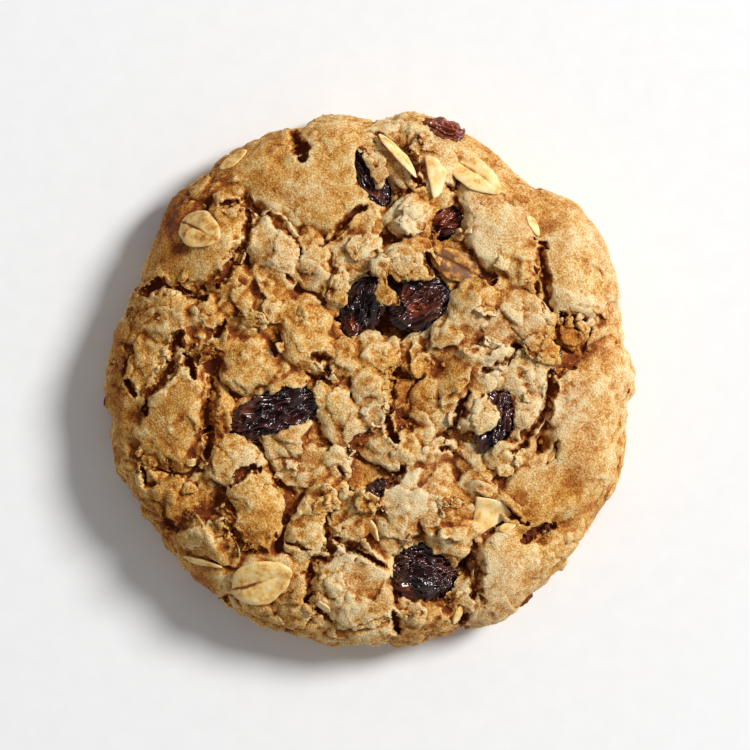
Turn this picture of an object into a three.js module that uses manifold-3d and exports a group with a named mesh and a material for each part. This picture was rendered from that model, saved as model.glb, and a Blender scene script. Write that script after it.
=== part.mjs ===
// An oatmeal raisin cookie: a thick round of baked dough whose top and flank are broken into lumps of
// dough-coated oats, with cracks between them, bare oat flakes lying on it, and raisins set in sockets
// in the dough. Millimetres, +Z up. The origin is on the table, under the middle of the cookie.
import * as THREE from "three";
import { mergeVertices } from "three/addons/utils/BufferGeometryUtils.js";
import Module from "manifold-3d";

const wasm = await Module();
wasm.setup();

// Driving dimensions
const WIDTH = 76; // across
const DOME = 12.5; // top of the plain dough under the lumps, at the middle
const BELLY = 4.6; // height at which the cookie is widest
const TUCK = 2.6; // how far the foot lies inside the widest line
const CROWN_POWER = 3.8; // 2 would be a plain ellipse; more gives a flatter top and a steeper flank
const CORE_INSET = 1.1; // how far the plain dough stays inside the outline that its lumps reach
const LUMP_SINK = 2.2; // depth of a lump's middle in the plain dough
const LUMP_SPREAD = 1.12; // how far each lump runs in under its neighbours, as a share of its size
const SOCKET_GAP = 0.35; // room between a raisin and the dough round it
const FLAKE_THICKNESS = 0.9;
const CRUST_FACETS = 7500; // on the plain crust, before the flakes and sockets
const SHORTEST_EDGE = 0.08; // on the finished dough

// Half the width of the cookie at every ten degrees from +X
const RIM_RADII = [
  38.1, 36.6, 38.0, 39.2, 39.0, 36.4, 36.8, 38.0, 38.8, 37.2, 38.5, 37.9, 38.0, 38.0, 37.7, 36.7, 36.4, 37.0,
  38.0, 38.2, 38.3, 38.0, 38.2, 38.3, 38.6, 38.9, 38.8, 38.8, 38.4, 38.5, 39.3, 38.6, 38.4, 38.0, 38.6, 37.4,
];
const RIM_STEP = 360 / RIM_RADII.length;

// The lumps of dough that make up the top. Each is x, y, length, width, the turn of its length from +X
// in degrees, its rise above the plain dough and, where it isn't 0, how much narrower it gets towards
// its far end.
const LUMPS = [
  // back left, from the rim inwards
  [-25.4, 24.8, 8.4, 6.6, 45, 1.6], [-19, 30.6, 7.2, 5.2, 40, 1.7], [-24.3, 18.2, 11, 9.5, 0, 2.6],
  [-19.6, 21.1, 9.6, 5.8, 80, 3.2], [-29, 15.6, 7.6, 6.2, 45, 2], [-14, 30, 12.5, 8, -65, 2.9],
  [-18.8, 27.5, 8.4, 5.6, 30, 2.1], [-10, 26, 8.4, 6.4, -50, 2.9],
  [-13.3, 18.5, 10.4, 7.4, -70, 3.1, 0.15], [-18.8, 12.8, 6.6, 6.2, -60, 2.9],
  [-14.4, 13.9, 5.8, 4.6, -50, 2.4], [-29, 8.7, 11.4, 7.4, -25, 3.2], [-30.3, 2.6, 9.4, 5.8, 40, 2.9],
  [-23.6, 9.3, 6.4, 5.4, -40, 3.1], [-23.8, 5.2, 5.6, 5, 20, 2.6], [-34, 3.8, 7.4, 5.4, -68, 1.9],
  // back middle
  [-5.6, 28.4, 15.5, 12.4, 75, 3.2], [-3.4, 35.6, 8, 6, 5, 1.7], [9.3, 32.8, 9, 7.4, 75, 2.8],
  [3.4, 34.6, 6.4, 4.8, -30, 1.5], [3.9, 30.1, 10.6, 3.6, -54, 3.7], [0.3, 31.2, 5.2, 3.6, 100, 3.5],
  [-0.3, 22.2, 6.2, 5.4, 30, 2.6], [5.6, 22.3, 6.2, 5.6, 0, 3], [8.3, 25.6, 7.4, 3.6, 0, 2.4],
  [-8, 16.5, 9, 5.8, -75, 2.7], [-1.9, 17.8, 7.8, 5.4, 20, 3], [-4.6, 13.8, 7.8, 3.4, 78, 2.6],
  [5.6, 17.1, 7.6, 4.6, -15, 4.1], [2.6, 13.4, 5.2, 2.6, -60, 3.8], [9.4, 28.4, 6.6, 4.6, 70, 2.8],
  // back right
  [16.6, 28.9, 12.2, 7.4, -40, 2.7], [18, 20.6, 12.6, 8.8, -55, 3.3], [21.4, 15.6, 7.2, 5, 80, 3],
  [25, 24, 9.8, 7.2, -25, 2.4], [29.2, 17.2, 15.4, 10, -68, 2.9], [27.4, 12.6, 7.4, 3.4, 100, 2.9],
  [15.4, 10.9, 9.8, 5.2, 30, 2.9], [12.6, 7.4, 9.4, 4.8, 50, 2.7], [20.3, 8.3, 10.8, 7.6, -20, 3.1],
  [13.9, 3.3, 8, 5.2, 40, 2.6], [18, 4.6, 7.2, 4.6, 35, 2.7], [28, 6, 4.6, 3.4, 0, 2.4],
  [33, 6.4, 7.8, 6, 70, 2],
  // middle left
  [-34.6, -2.8, 7.8, 6, 80, 1.9], [-33.2, -8.4, 9.2, 5.8, 75, 2], [-27.2, -4.5, 14.8, 8.4, 75, 3.4, 0.2],
  [-31.9, -0.8, 5.2, 4, 45, 1.8], [-17, 8, 6.8, 5.2, -10, 2.4], [-13.2, 9.4, 6.4, 6, 0, 2.4],
  [-20.5, 5, 5.4, 3.6, 75, 2.6], [-17, 2.2, 8.4, 7.2, -20, 3.2], [-9.3, 6, 10.6, 6.8, -70, 3.3],
  [-12, 0.8, 6.4, 5.8, 0, 2.6], [-20.9, -4, 6.6, 3.4, 105, 2.6], [-19.5, -11.6, 8.8, 6.8, -25, 3],
  // middle
  [-3, 2.2, 7.2, 5.8, -10, 2.7], [0.6, 3.3, 5.4, 4.8, 80, 2.8], [0.2, -2.4, 9.2, 4.5, -70, 3.2],
  [-4.1, -4.9, 9.8, 6.4, -50, 2.9], [-10.9, -8, 6.6, 5.2, 10, 3.1], [-8.8, -12.2, 8.4, 5.6, 0, 2.2],
  [-4.5, -11, 5.2, 3, 80, 2.5], [6.2, 3.2, 5.4, 4.6, 0, 1.1], [4.2, -2.3, 5.4, 4.8, 0, 1],
  [9.8, -3.3, 9.4, 5.8, 65, 2.3], [3.8, -9.8, 9.6, 6, -10, 2.7], [12.6, -0.3, 5.8, 4.6, 40, 2.5],
  [8.6, -9.6, 6.4, 5, -30, 2],
  // middle right
  [22.6, 0.1, 8.4, 6.2, -15, 3.4], [17.4, 0.4, 5.6, 3.4, 0, 2.9], [21.8, -6.2, 10.6, 4.9, 82, 2.9],
  [15.4, -4.6, 5.6, 4.2, 75, 3.7], [18.8, -10.1, 5, 4.4, 10, 2.6], [14.2, -11.4, 5, 4, -30, 1.4],
  [33.6, 0.4, 8.4, 7, -10, 2.3], [29, -3.4, 10.2, 9, 15, 3.1], [30.4, -9, 19, 11, 80, 2.9],
  [23.4, -12.6, 5, 4, 60, 2.2], [29.2, -17, 10.6, 8.4, 50, 2.4],
  // front left
  [-31.9, -14.4, 6.2, 4.8, -60, 1.8], [-29.2, -17.8, 5.8, 4.8, 10, 2], [-26.9, -17.2, 7, 4.8, 100, 2.7],
  [-23.3, -21.5, 7.6, 4.9, -40, 3.1], [-19.9, -22.8, 6.2, 2.6, -60, 2.7],
  [-23.6, -14.6, 6.4, 4.4, -30, 1.4], [-16, -18.6, 12, 6.2, 95, 3.4, -0.2],
  [-22.4, -27, 8.4, 5.4, -30, 1.8], [-14, -28.2, 12.4, 9.4, 5, 2.5], [-17.4, -31.4, 7.6, 4.4, -35, 1.5],
  [-11.6, -32, 6.4, 5, 10, 2.5],
  // front middle
  [-8.2, -20.7, 9.8, 4.6, 82, 3.1], [-2, -19.6, 8.6, 5.6, 70, 2.8], [-5.6, -15.6, 6, 4, -30, 2.5],
  [4.9, -18, 10.4, 7, 65, 3.4], [9.8, -17.7, 11.6, 6.8, -75, 2.9], [11.8, -21.6, 6.4, 4.2, 0, 2.9],
  [1.6, -22.4, 5.2, 3.6, -60, 1.8], [-1.8, -29.4, 12, 9.2, -60, 3.3], [-5.8, -27.5, 6.2, 3.2, 75, 2.9],
  [-0.8, -34.5, 9.8, 6.6, 0, 1.8], [7.4, -33, 8.8, 3.6, 5, 2.5], [9, -34.6, 9.4, 6.4, 8, 2.3],
  // front right
  [18.9, -27.4, 12.6, 7.8, 88, 3.2], [24, -26, 9.6, 7, 38, 2.3], [18, -32, 9.4, 5, 15, 1.8],
  [23.2, -16, 11, 9.4, 60, 2.7], [15.6, -15, 6.4, 4.4, 20, 2.3],
];

// The lumps round the flank, in rows: how many there are, the height of their middles, their size up
// the flank, and how far they stay inside the outline at their middles.
const FLANK_ROWS = [
  { count: 29, middle: 3.3, height: 8.4, inset: 0.4 },
  { count: 26, middle: 7.4, height: 7.4, inset: 0.9 },
];
const FLANK_LUMP_DEPTH = 8;
const FLANK_UNEVENNESS = 0.6; // how far a flank lump strays in or out and up or down
const SEED = 20;

// Valleys cut into the plain dough before the lumps go on: x, y, length, width, turn and depth
const VALLEYS = [
  [3.2, 10.6, 16, 9.5, 10, 3.4], [9, -28, 14, 10, 0, 3.6], [-25.6, 12.6, 7, 4, 0, 2.6],
  [-22.6, -5.4, 13, 3.6, 88, 2.4], [5, 0, 12, 7, 80, 2.6], [11, 22.4, 6.4, 5.4, 20, 3.4],
  [24.6, 14, 12, 3.4, 88, 2.8], [30.6, 5.2, 8, 2.6, 60, 2.4], [25.6, -20.9, 6, 4, 10, 2],
  [25.4, -8, 9, 3.2, 70, 2.4], [-19, 22, 10, 2.6, 75, 2.4], [-8.6, -29, 8, 2.6, 90, 2.2],
];

// Raisins: node name, x, y, length, width, thickness, turn, and the height of the middle above the
// plain dough.
const RAISINS = [
  ["raisin_left", -13.4, -4.7, 14.4, 7, 6, 19, 0],
  ["raisin_middle", -0.9, 10.1, 10.8, 6.4, 5.4, 66, -0.9],
  ["raisin_under_flap", 7.3, 11, 9.4, 7, 5.6, 28, -0.5],
  ["raisin_front", 7.7, -27.2, 9.6, 8.6, 6, -12, -0.7],
  ["raisin_back", 0.2, 28.4, 9.6, 4.6, 4.6, 112, 1],
  ["raisin_right", 17.4, -5.5, 9, 5.4, 4.8, 72, 1.1],
  ["raisin_rim", 10.4, 35.3, 6, 4.2, 3.8, -15, 1.3],
  ["raisin_pit", 11, 22.2, 5.4, 4.6, 3.8, 15, -0.7],
  ["raisin_crack_right", 24.2, 4.3, 4.6, 2.8, 3, -28, 1.8],
  ["raisin_crack_front", 0.9, -15.9, 4.4, 2.4, 2.8, 60, 1.6],
];
const LARGE_RAISIN = 7;
const FOLDS = 7; // lengthwise wrinkles round a raisin
const FOLD_DEPTH = 0.1; // as a share of the raisin's half width

// Bare oat flakes lying on the lumps: x, y, length, width, turn, and the extra tilts of its length and
// of its width in degrees.
const FLAKES = [
  [-23.8, 20.9, 7.4, 5.4, -27, 0, 0], [15.2, 28.7, 8.2, 4.5, -37, 0, 0], [-15, -28.3, 9, 6.5, 10, 0, 0],
  [16.9, -18.8, 5.8, 5.2, 8, 0, 0], [12.9, 15.9, 9, 4.6, -29, 0, 0], [8.9, 28, 5.8, 3.2, 74, 0, -12],
  [23.1, 21.6, 3.6, 2.2, -62, 0, 0], [2.6, -26, 4.4, 2.6, 66, 0, 0], [-23.6, -25.6, 7.4, 3, -12, 0, 14],
  [-6.3, -31.9, 3, 2, -55, 0, 0], [4.4, 30.6, 7.6, 2.8, -52, 0, -10],
];
const FLAKE_SIDES = 12;
const FLAKE_LIFT = 0.2; // height of a flake's middle over the dough that it lies on

const radians = THREE.MathUtils.degToRad;

function seededRandom(seed) {
  let state = seed;
  return () => {
    state = (state * 16807) % 2147483647;
    return state / 2147483647;
  };
}

// The plain dough: a superellipse dome on a tucked foot

function rimRadius(angle) {
  const at = THREE.MathUtils.euclideanModulo(THREE.MathUtils.radToDeg(angle), 360) / RIM_STEP;
  const k = Math.floor(at);
  const [a, b, c, d] = [-1, 0, 1, 2].map((i) => RIM_RADII[(k + i + RIM_RADII.length) % RIM_RADII.length]);
  const t = at - k;
  const [second, third] = [2 * a - 5 * b + 4 * c - d, 3 * b - a - 3 * c + d];
  return 0.5 * (2 * b + (c - a) * t + second * t * t + third * t * t * t);
}

function coreRadius(angle) {
  return rimRadius(angle) - CORE_INSET;
}

// Axes on the dome over (x, y): the first turned from +X, the last along the outward normal
function placeOnDome(x, y, turn, height) {
  const angle = Math.atan2(y, x);
  const rim = coreRadius(angle);
  const share = Math.min(Math.hypot(x, y) / rim, 0.96);
  const root = Math.sqrt(1 - share ** CROWN_POWER);
  const slope = ((DOME - BELLY) * CROWN_POWER * share ** (CROWN_POWER - 1)) / (2 * rim * root);
  const normal = new THREE.Vector3(slope * Math.cos(angle), slope * Math.sin(angle), 1).normalize();
  const heading = new THREE.Vector3(Math.cos(radians(turn)), Math.sin(radians(turn)), 0);
  const along = heading.projectOnPlane(normal).normalize();
  const [x0, y0] = [share * rim * Math.cos(angle), share * rim * Math.sin(angle)];
  const middle = new THREE.Vector3(x0, y0, BELLY + (DOME - BELLY) * root);
  return new THREE.Matrix4()
    .makeBasis(along, normal.clone().cross(along), normal)
    .setPosition(middle.addScaledVector(normal, height));
}

const CORE_SIDES = 60;
const CORE_STEP = 2.6;

function coreGeometry() {
  const points = [];
  const fine = 90;
  const radius = WIDTH / 2;
  for (let i = 0; i <= fine; i++) {
    const t = (i / fine) * (Math.PI / 2);
    const out = radius * Math.sin(t) ** (2 / CROWN_POWER);
    points.push(new THREE.Vector2(out, BELLY + (DOME - BELLY) * Math.cos(t)));
  }
  for (let i = 1; i <= fine / 4; i++) {
    const t = (i / (fine / 4)) * (Math.PI / 2);
    points.push(new THREE.Vector2(radius - TUCK * (1 - Math.cos(t)), BELLY * (1 - Math.sin(t))));
  }
  const path = new THREE.Path(points);
  const section = path.getSpacedPoints(Math.round(path.getLength() / CORE_STEP));
  section[section.length - 1].y = 0;
  const geometry = new THREE.LatheGeometry([new THREE.Vector2(0, 0), ...section.reverse()], CORE_SIDES);
  geometry.rotateX(Math.PI / 2);
  const position = geometry.getAttribute("position");
  for (let i = 0; i < position.count; i++) {
    const [x, y] = [position.getX(i), position.getY(i)];
    const k = coreRadius(Math.atan2(y, x)) / radius;
    position.setXY(i, x * k, y * k);
  }
  return geometry;
}

// A slow waver that takes the evenness out of the lumps and keeps neighbours fitting each other
const WAVER = 0.4;

function wavered(geometry) {
  const position = geometry.getAttribute("position");
  const p = new THREE.Vector3();
  for (let i = 0; i < position.count; i++) {
    p.fromBufferAttribute(position, i);
    const dx = Math.sin(0.93 * p.y + 1.4 * Math.sin(0.41 * p.x)) + 0.5 * Math.sin(2.1 * p.y + 1.1 * p.z);
    const dy = Math.sin(0.87 * p.x + 1.2 * Math.sin(0.47 * p.y) + 2) + 0.5 * Math.sin(1.9 * p.x + 1.3 * p.z);
    position.setXYZ(i, p.x + WAVER * dx, p.y + WAVER * dy, p.z);
  }
  return geometry;
}

// A lump: a squared pebble, with knobs that differ from lump to lump
const TOP_LUMP_POWER = 3.6; // squareness of the lumps of the top: 2 is an ellipsoid
const FLANK_LUMP_POWER = 2.5;
const KNOBS = 0.05;
const LARGE_LUMP = 7.5;

function lumpGeometry(length, width, height, taper, power, order) {
  const geometry = new THREE.IcosahedronGeometry(1, length > LARGE_LUMP ? 4 : 2);
  geometry.rotateZ(order * 2.4);
  const position = geometry.getAttribute("position");
  const p = new THREE.Vector3();
  for (let i = 0; i < position.count; i++) {
    p.fromBufferAttribute(position, i);
    const [x, y, z] = p.toArray().map(Math.abs);
    const square = (x ** power + y ** power + z ** power) ** (-1 / power);
    const waves = [4.1 * p.x + 1.7 * order, 4.7 * p.y + 2.9 * order, 6.3 * (p.x - p.y) + order];
    const knob = waves.reduce((sum, wave) => sum + KNOBS * Math.sin(wave), 1);
    p.multiplyScalar(square * knob);
    p.y *= 1 - taper * p.x;
    position.setXYZ(i, (p.x * length) / 2, (p.y * width) / 2, p.z * height);
  }
  return geometry;
}

function topLump(length, width, rise, taper, order) {
  const [spreadLength, spreadWidth] = [length * LUMP_SPREAD, width * LUMP_SPREAD];
  return lumpGeometry(spreadLength, spreadWidth, rise + LUMP_SINK, taper, TOP_LUMP_POWER, order);
}

// A raisin: a drawn-out ball with folds along it. grow makes the cutter for its socket.
function raisinGeometry(length, width, thickness, grow, order) {
  const geometry = new THREE.IcosahedronGeometry(1, length > LARGE_RAISIN ? 2 : 1);
  const position = geometry.getAttribute("position");
  const v = new THREE.Vector3();
  for (let i = 0; i < position.count; i++) {
    v.fromBufferAttribute(position, i);
    const round = Math.atan2(v.z, v.y);
    const fold = 1 - FOLD_DEPTH * (1 - v.x ** 4) * (0.5 + 0.5 * Math.sin(FOLDS * round + 2.2 * v.x + order));
    const blunt = 1 + 0.12 * v.x * Math.cos(order);
    const bend = 0.04 * length * (1 - v.x * v.x) * Math.sin(2 * order);
    position.setXYZ(
      i,
      v.x * (length / 2 + grow),
      v.y * (fold * blunt * (width / 2) + grow) + bend,
      v.z * (fold * blunt * (thickness / 2) + grow),
    );
  }
  return geometry;
}

// An oat flake: a rolled groat, a thin oval with one blunt and one pointed end
function flakeGeometry(length, width) {
  const section = [[0, -0.5], [1, -0.2], [1, 0.2], [0.6, 0.5], [0, 0.34]];
  const profile = section.map(([r, z]) => new THREE.Vector2(r, z * FLAKE_THICKNESS));
  const geometry = new THREE.LatheGeometry(profile, FLAKE_SIDES);
  geometry.rotateX(Math.PI / 2);
  const position = geometry.getAttribute("position");
  for (let i = 0; i < position.count; i++) {
    const [x, y] = [position.getX(i), position.getY(i)];
    position.setXY(i, (x * length) / 2, (y * (1 - 0.18 * x) * width) / 2);
  }
  return geometry;
}

// Fewer facets on the crust: edges are folded away where that moves the surface least, as long as no
// facet turns over and the crust stays closed. The flat foot stays flat.
const KEEP_FACING = 0.35; // least cosine between a facet before and after
const EVENNESS = 0.002; // how far short edges go before long ones on a flat place
const LEAST_FULLNESS = 0.05; // of a facet, by its area over the square of its longest side
const SLIVER = 0.01;

function withFewerFacets(geometry, wanted, longestFold = Infinity) {
  const at = Array.from({ length: geometry.getAttribute("position").count }, (_, i) =>
    new THREE.Vector3().fromBufferAttribute(geometry.getAttribute("position"), i),
  );
  const faces = [];
  const facesOf = at.map(() => new Set());
  const quadrics = at.map(() => new Float64Array(10));
  const stamp = new Int32Array(at.length);
  const [u, w, normal, spot] = [0, 1, 2, 3].map(() => new THREE.Vector3());
  const facing = (a, b, c, target) => target.crossVectors(u.subVectors(b, a), w.subVectors(c, a));
  const fullness = (points, target) => {
    const area = facing(...points, target).length();
    target.normalize();
    return area / Math.max(...points.map((p, k) => p.distanceToSquared(points[(k + 1) % 3])), 1e-12);
  };
  const corners = geometry.index.array;
  for (let i = 0; i < corners.length; i += 3) {
    const face = [corners[i], corners[i + 1], corners[i + 2]];
    const area = facing(at[face[0]], at[face[1]], at[face[2]], normal).length() / 2;
    normal.normalize();
    const [a, b, c, d] = [normal.x, normal.y, normal.z, -normal.dot(at[face[0]])];
    const terms = [a * a, a * b, a * c, a * d, b * b, b * c, b * d, c * c, c * d, d * d];
    for (const corner of face) {
      facesOf[corner].add(faces.length);
      for (let k = 0; k < 10; k++) quadrics[corner][k] += terms[k] * area;
    }
    faces.push(face);
  }
  const error = (q, p) =>
    q[0] * p.x * p.x + 2 * q[1] * p.x * p.y + 2 * q[2] * p.x * p.z + 2 * q[3] * p.x + q[4] * p.y * p.y +
    2 * q[5] * p.y * p.z + 2 * q[6] * p.y + q[7] * p.z * p.z + 2 * q[8] * p.z + q[9];

  // Where the two ends of an edge would meet, and what that costs
  const best = new THREE.Matrix3();
  function meeting(a, b) {
    const q = quadrics[a].map((value, k) => value + quadrics[b][k]);
    const spots = [at[a].clone(), at[b].clone(), at[a].clone().lerp(at[b], 0.5)];
    best.set(q[0], q[1], q[2], q[1], q[4], q[5], q[2], q[5], q[7]);
    if (Math.abs(best.determinant()) > 1e-4) {
      const ideal = new THREE.Vector3(-q[3], -q[6], -q[8]).applyMatrix3(best.invert());
      if (ideal.distanceTo(spots[2]) < 0.6 * at[a].distanceTo(at[b])) spots.push(ideal);
    }
    const onFoot = [a, b].filter((end) => at[end].z === 0);
    const allowed = onFoot.length === 1 ? [at[onFoot[0]].clone()] : spots;
    if (onFoot.length === 2) for (const s of allowed) s.z = 0;
    const costs = allowed.map((s) => error(q, s));
    const pick = costs.indexOf(Math.min(...costs));
    const cost = Math.max(costs[pick], 0) + EVENNESS * at[a].distanceToSquared(at[b]);
    return { a, b, q, spot: allowed[pick], cost };
  }

  const heap = [];
  const swap = (i, j) => ([heap[i], heap[j]] = [heap[j], heap[i]]);
  function push(edge) {
    if (at[edge.a].distanceTo(at[edge.b]) > longestFold) return;
    edge.stamps = [stamp[edge.a], stamp[edge.b]];
    let i = heap.push(edge) - 1;
    while (i > 0 && heap[i].cost < heap[(i - 1) >> 1].cost) {
      swap(i, (i - 1) >> 1);
      i = (i - 1) >> 1;
    }
  }
  function pop() {
    const top = heap[0];
    const last = heap.pop();
    if (heap.length) {
      heap[0] = last;
      for (let i = 0; ; ) {
        const [l, r] = [2 * i + 1, 2 * i + 2];
        let least = i;
        if (l < heap.length && heap[l].cost < heap[least].cost) least = l;
        if (r < heap.length && heap[r].cost < heap[least].cost) least = r;
        if (least === i) break;
        swap(i, least);
        i = least;
      }
    }
    return top;
  }

  const neighbours = (v) => {
    const found = new Set();
    for (const f of facesOf[v]) for (const corner of faces[f]) if (corner !== v) found.add(corner);
    return found;
  };
  function staysSound(a, b, to) {
    const ring = neighbours(b);
    if ([...neighbours(a)].filter((v) => ring.has(v)).length !== 2) return false;
    for (const v of [a, b])
      for (const f of facesOf[v]) {
        if (faces[f].includes(a) && faces[f].includes(b)) continue;
        const still = faces[f].map((corner) => at[corner]);
        const moved = faces[f].map((corner) => (corner === v ? to : at[corner]));
        const [before, after] = [fullness(still, normal), fullness(moved, spot)];
        if (after < Math.min(before, LEAST_FULLNESS)) return false;
        if (before > SLIVER && spot.dot(normal) < KEEP_FACING) return false;
      }
    return true;
  }

  for (let v = 0; v < at.length; v++) for (const n of neighbours(v)) if (v < n) push(meeting(v, n));
  let count = faces.length;
  while (count > wanted && heap.length) {
    const { a, b, q, spot: to, stamps } = pop();
    if (stamps[0] !== stamp[a] || stamps[1] !== stamp[b] || !staysSound(a, b, to)) continue;
    at[a].copy(to);
    quadrics[a] = q;
    for (const f of facesOf[b]) {
      if (faces[f].includes(a)) {
        for (const corner of faces[f]) if (corner !== b) facesOf[corner].delete(f);
        faces[f] = null;
        count--;
      } else {
        faces[f] = faces[f].map((corner) => (corner === b ? a : corner));
        facesOf[a].add(f);
      }
    }
    stamp[a]++;
    stamp[b] = -1;
    for (const n of neighbours(a)) push(meeting(a, n));
  }
  const fewer = new THREE.BufferGeometry();
  fewer.setAttribute("position", new THREE.Float32BufferAttribute(at.flatMap((p) => p.toArray()), 3));
  fewer.setIndex(faces.filter((face) => face).flat());
  return fewer;
}

// Joining and cutting

function solid(geometry) {
  const plain = new THREE.BufferGeometry().setAttribute("position", geometry.getAttribute("position"));
  plain.setIndex(geometry.index);
  const merged = mergeVertices(plain, 1e-4);
  const corners = merged.index.array;
  const kept = [];
  for (let i = 0; i < corners.length; i += 3) {
    const [a, b, c] = corners.slice(i, i + 3);
    if (a !== b && b !== c && c !== a) kept.push(a, b, c);
  }
  const vertProperties = merged.attributes.position.array;
  return new wasm.Manifold(new wasm.Mesh({ numProp: 3, vertProperties, triVerts: new Uint32Array(kept) }));
}

function geometryOf(manifold) {
  const mesh = manifold.getMesh();
  const geometry = new THREE.BufferGeometry();
  geometry.setAttribute("position", new THREE.Float32BufferAttribute(mesh.vertProperties, 3));
  geometry.setIndex([...mesh.triVerts]);
  return geometry;
}

function joined(pieces) {
  if (pieces.length === 1) return pieces[0];
  const half = Math.ceil(pieces.length / 2);
  return joined(pieces.slice(0, half)).add(joined(pieces.slice(half)));
}

// The main body alone, without scraps and with shut hollows filled
function oneBody(manifold) {
  return manifold.decompose().sort((a, b) => b.volume() - a.volume())[0];
}

function cut(start, pieces) {
  return pieces.reduce((all, piece) => all.subtract(piece), start);
}

const core = solid(coreGeometry());
const belowTable = solid(new THREE.BoxGeometry(2 * WIDTH, 2 * WIDTH, 20).translate(0, 0, -10));
const valleys = VALLEYS.map(([x, y, length, width, turn, depth], order) => {
  const bowl = lumpGeometry(length, width, depth, 0, FLANK_LUMP_POWER, order + 0.5);
  return solid(bowl.applyMatrix4(placeOnDome(x, y, turn, 0)));
});
const topLumps = LUMPS.map(([x, y, length, width, turn, rise, taper = 0], order) => {
  const lump = topLump(length, width, rise, taper, order);
  return solid(wavered(lump.applyMatrix4(placeOnDome(x, y, turn, -LUMP_SINK))));
});
const random = seededRandom(SEED);
const flankLumps = FLANK_ROWS.flatMap(({ count, middle, height, inset }, row) =>
  Array.from({ length: count }, (_, k) => {
    const [turn, stray, rise, spread] = [random(), random(), random(), random()].map((r) => 2 * r - 1);
    const angle = (2 * Math.PI * (k + 0.3 * turn)) / count;
    const reach = rimRadius(angle) - inset + FLANK_UNEVENNESS * stray;
    const width = ((2 * Math.PI * reach) / count) * (1.35 + 0.2 * spread);
    const order = 5 * row + k + 0.3;
    const geometry = lumpGeometry(width, FLANK_LUMP_DEPTH, height / 2, 0, FLANK_LUMP_POWER, order);
    geometry.rotateZ(Math.PI / 2);
    geometry.translate(reach - FLANK_LUMP_DEPTH / 2, 0, middle + FLANK_UNEVENNESS * rise);
    return solid(geometry.rotateZ(angle));
  }),
);
const raisins = RAISINS.map(([name, x, y, length, width, thickness, turn, height], order) => {
  const place = placeOnDome(x, y, turn, height);
  const shape = (grow) => raisinGeometry(length, width, thickness, grow, order);
  return { name, place, body: shape(0), socket: solid(shape(SOCKET_GAP).applyMatrix4(place)) };
});

const lumpy = oneBody(cut(joined([cut(core, valleys), ...topLumps, ...flankLumps]), [belowTable]));
const crustGeometry = withFewerFacets(geometryOf(lumpy), CRUST_FACETS);

// The flakes lie on the lumps, half sunk. Plumb lines at the middle and the ends of each find the crust
// under it.
const crust = new THREE.Mesh(crustGeometry, new THREE.MeshBasicMaterial());
const plumb = new THREE.Raycaster();
function crustPoint(x, y) {
  plumb.set(new THREE.Vector3(x, y, 2 * DOME), new THREE.Vector3(0, 0, -1));
  return plumb.intersectObject(crust)[0].point;
}
const flakes = FLAKES.map(([x, y, length, width, turn, tiltLength, tiltWidth]) => {
  const [cos, sin] = [0.35 * Math.cos(radians(turn)), 0.35 * Math.sin(radians(turn))];
  const [front, back] = [1, -1].map((k) => crustPoint(x + k * length * cos, y + k * length * sin));
  const [left, right] = [1, -1].map((k) => crustPoint(x - k * width * sin, y + k * width * cos));
  const along = front.clone().sub(back).normalize();
  const normal = along.clone().cross(left.clone().sub(right)).normalize();
  const middle = crustPoint(x, y).add(front).add(back).add(left).add(right).divideScalar(5);
  const place = new THREE.Matrix4()
    .makeBasis(along, normal.clone().cross(along), normal)
    .setPosition(middle.addScaledVector(normal, FLAKE_LIFT));
  const tilt = new THREE.Euler(radians(tiltWidth), radians(tiltLength), 0);
  place.multiply(new THREE.Matrix4().makeRotationFromEuler(tilt));
  return solid(flakeGeometry(length, width).applyMatrix4(place));
});

const whole = cut(joined([solid(crustGeometry), ...flakes]), raisins.map((raisin) => raisin.socket));
const doughSolid = oneBody(whole);

// The cookie

const doughMaterial = new THREE.MeshStandardMaterial({ color: "#c99b5f", roughness: 0.85, metalness: 0 });
const raisinMaterial = new THREE.MeshStandardMaterial({ color: "#2c1110", roughness: 0.35, metalness: 0 });

const cookie = new THREE.Group();
const dough = new THREE.Mesh(withFewerFacets(geometryOf(doughSolid), 0, SHORTEST_EDGE), doughMaterial);
dough.name = "cookie_dough";
cookie.add(dough);
for (const { name, place, body } of raisins) {
  const raisin = new THREE.Mesh(body, raisinMaterial);
  raisin.name = name;
  place.decompose(raisin.position, raisin.quaternion, raisin.scale);
  cookie.add(raisin);
}

const middle = new THREE.Box3().setFromObject(cookie).getCenter(new THREE.Vector3());
cookie.position.set(-middle.x, -middle.y, 0);

export default cookie;
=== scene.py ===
"""An oatmeal raisin cookie, built as it is made: a round of stiff oat dough that bakes into lumps with
cracks between them, raisins in sockets in the dough, bare oat flakes on it, crumbs, and then the table
and the light. Shapes are worked out in millimetres and turned to metres as each mesh is made."""

import math

import bmesh
import bpy
import numpy as np
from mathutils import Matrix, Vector
from mathutils.bvhtree import BVHTree


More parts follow.
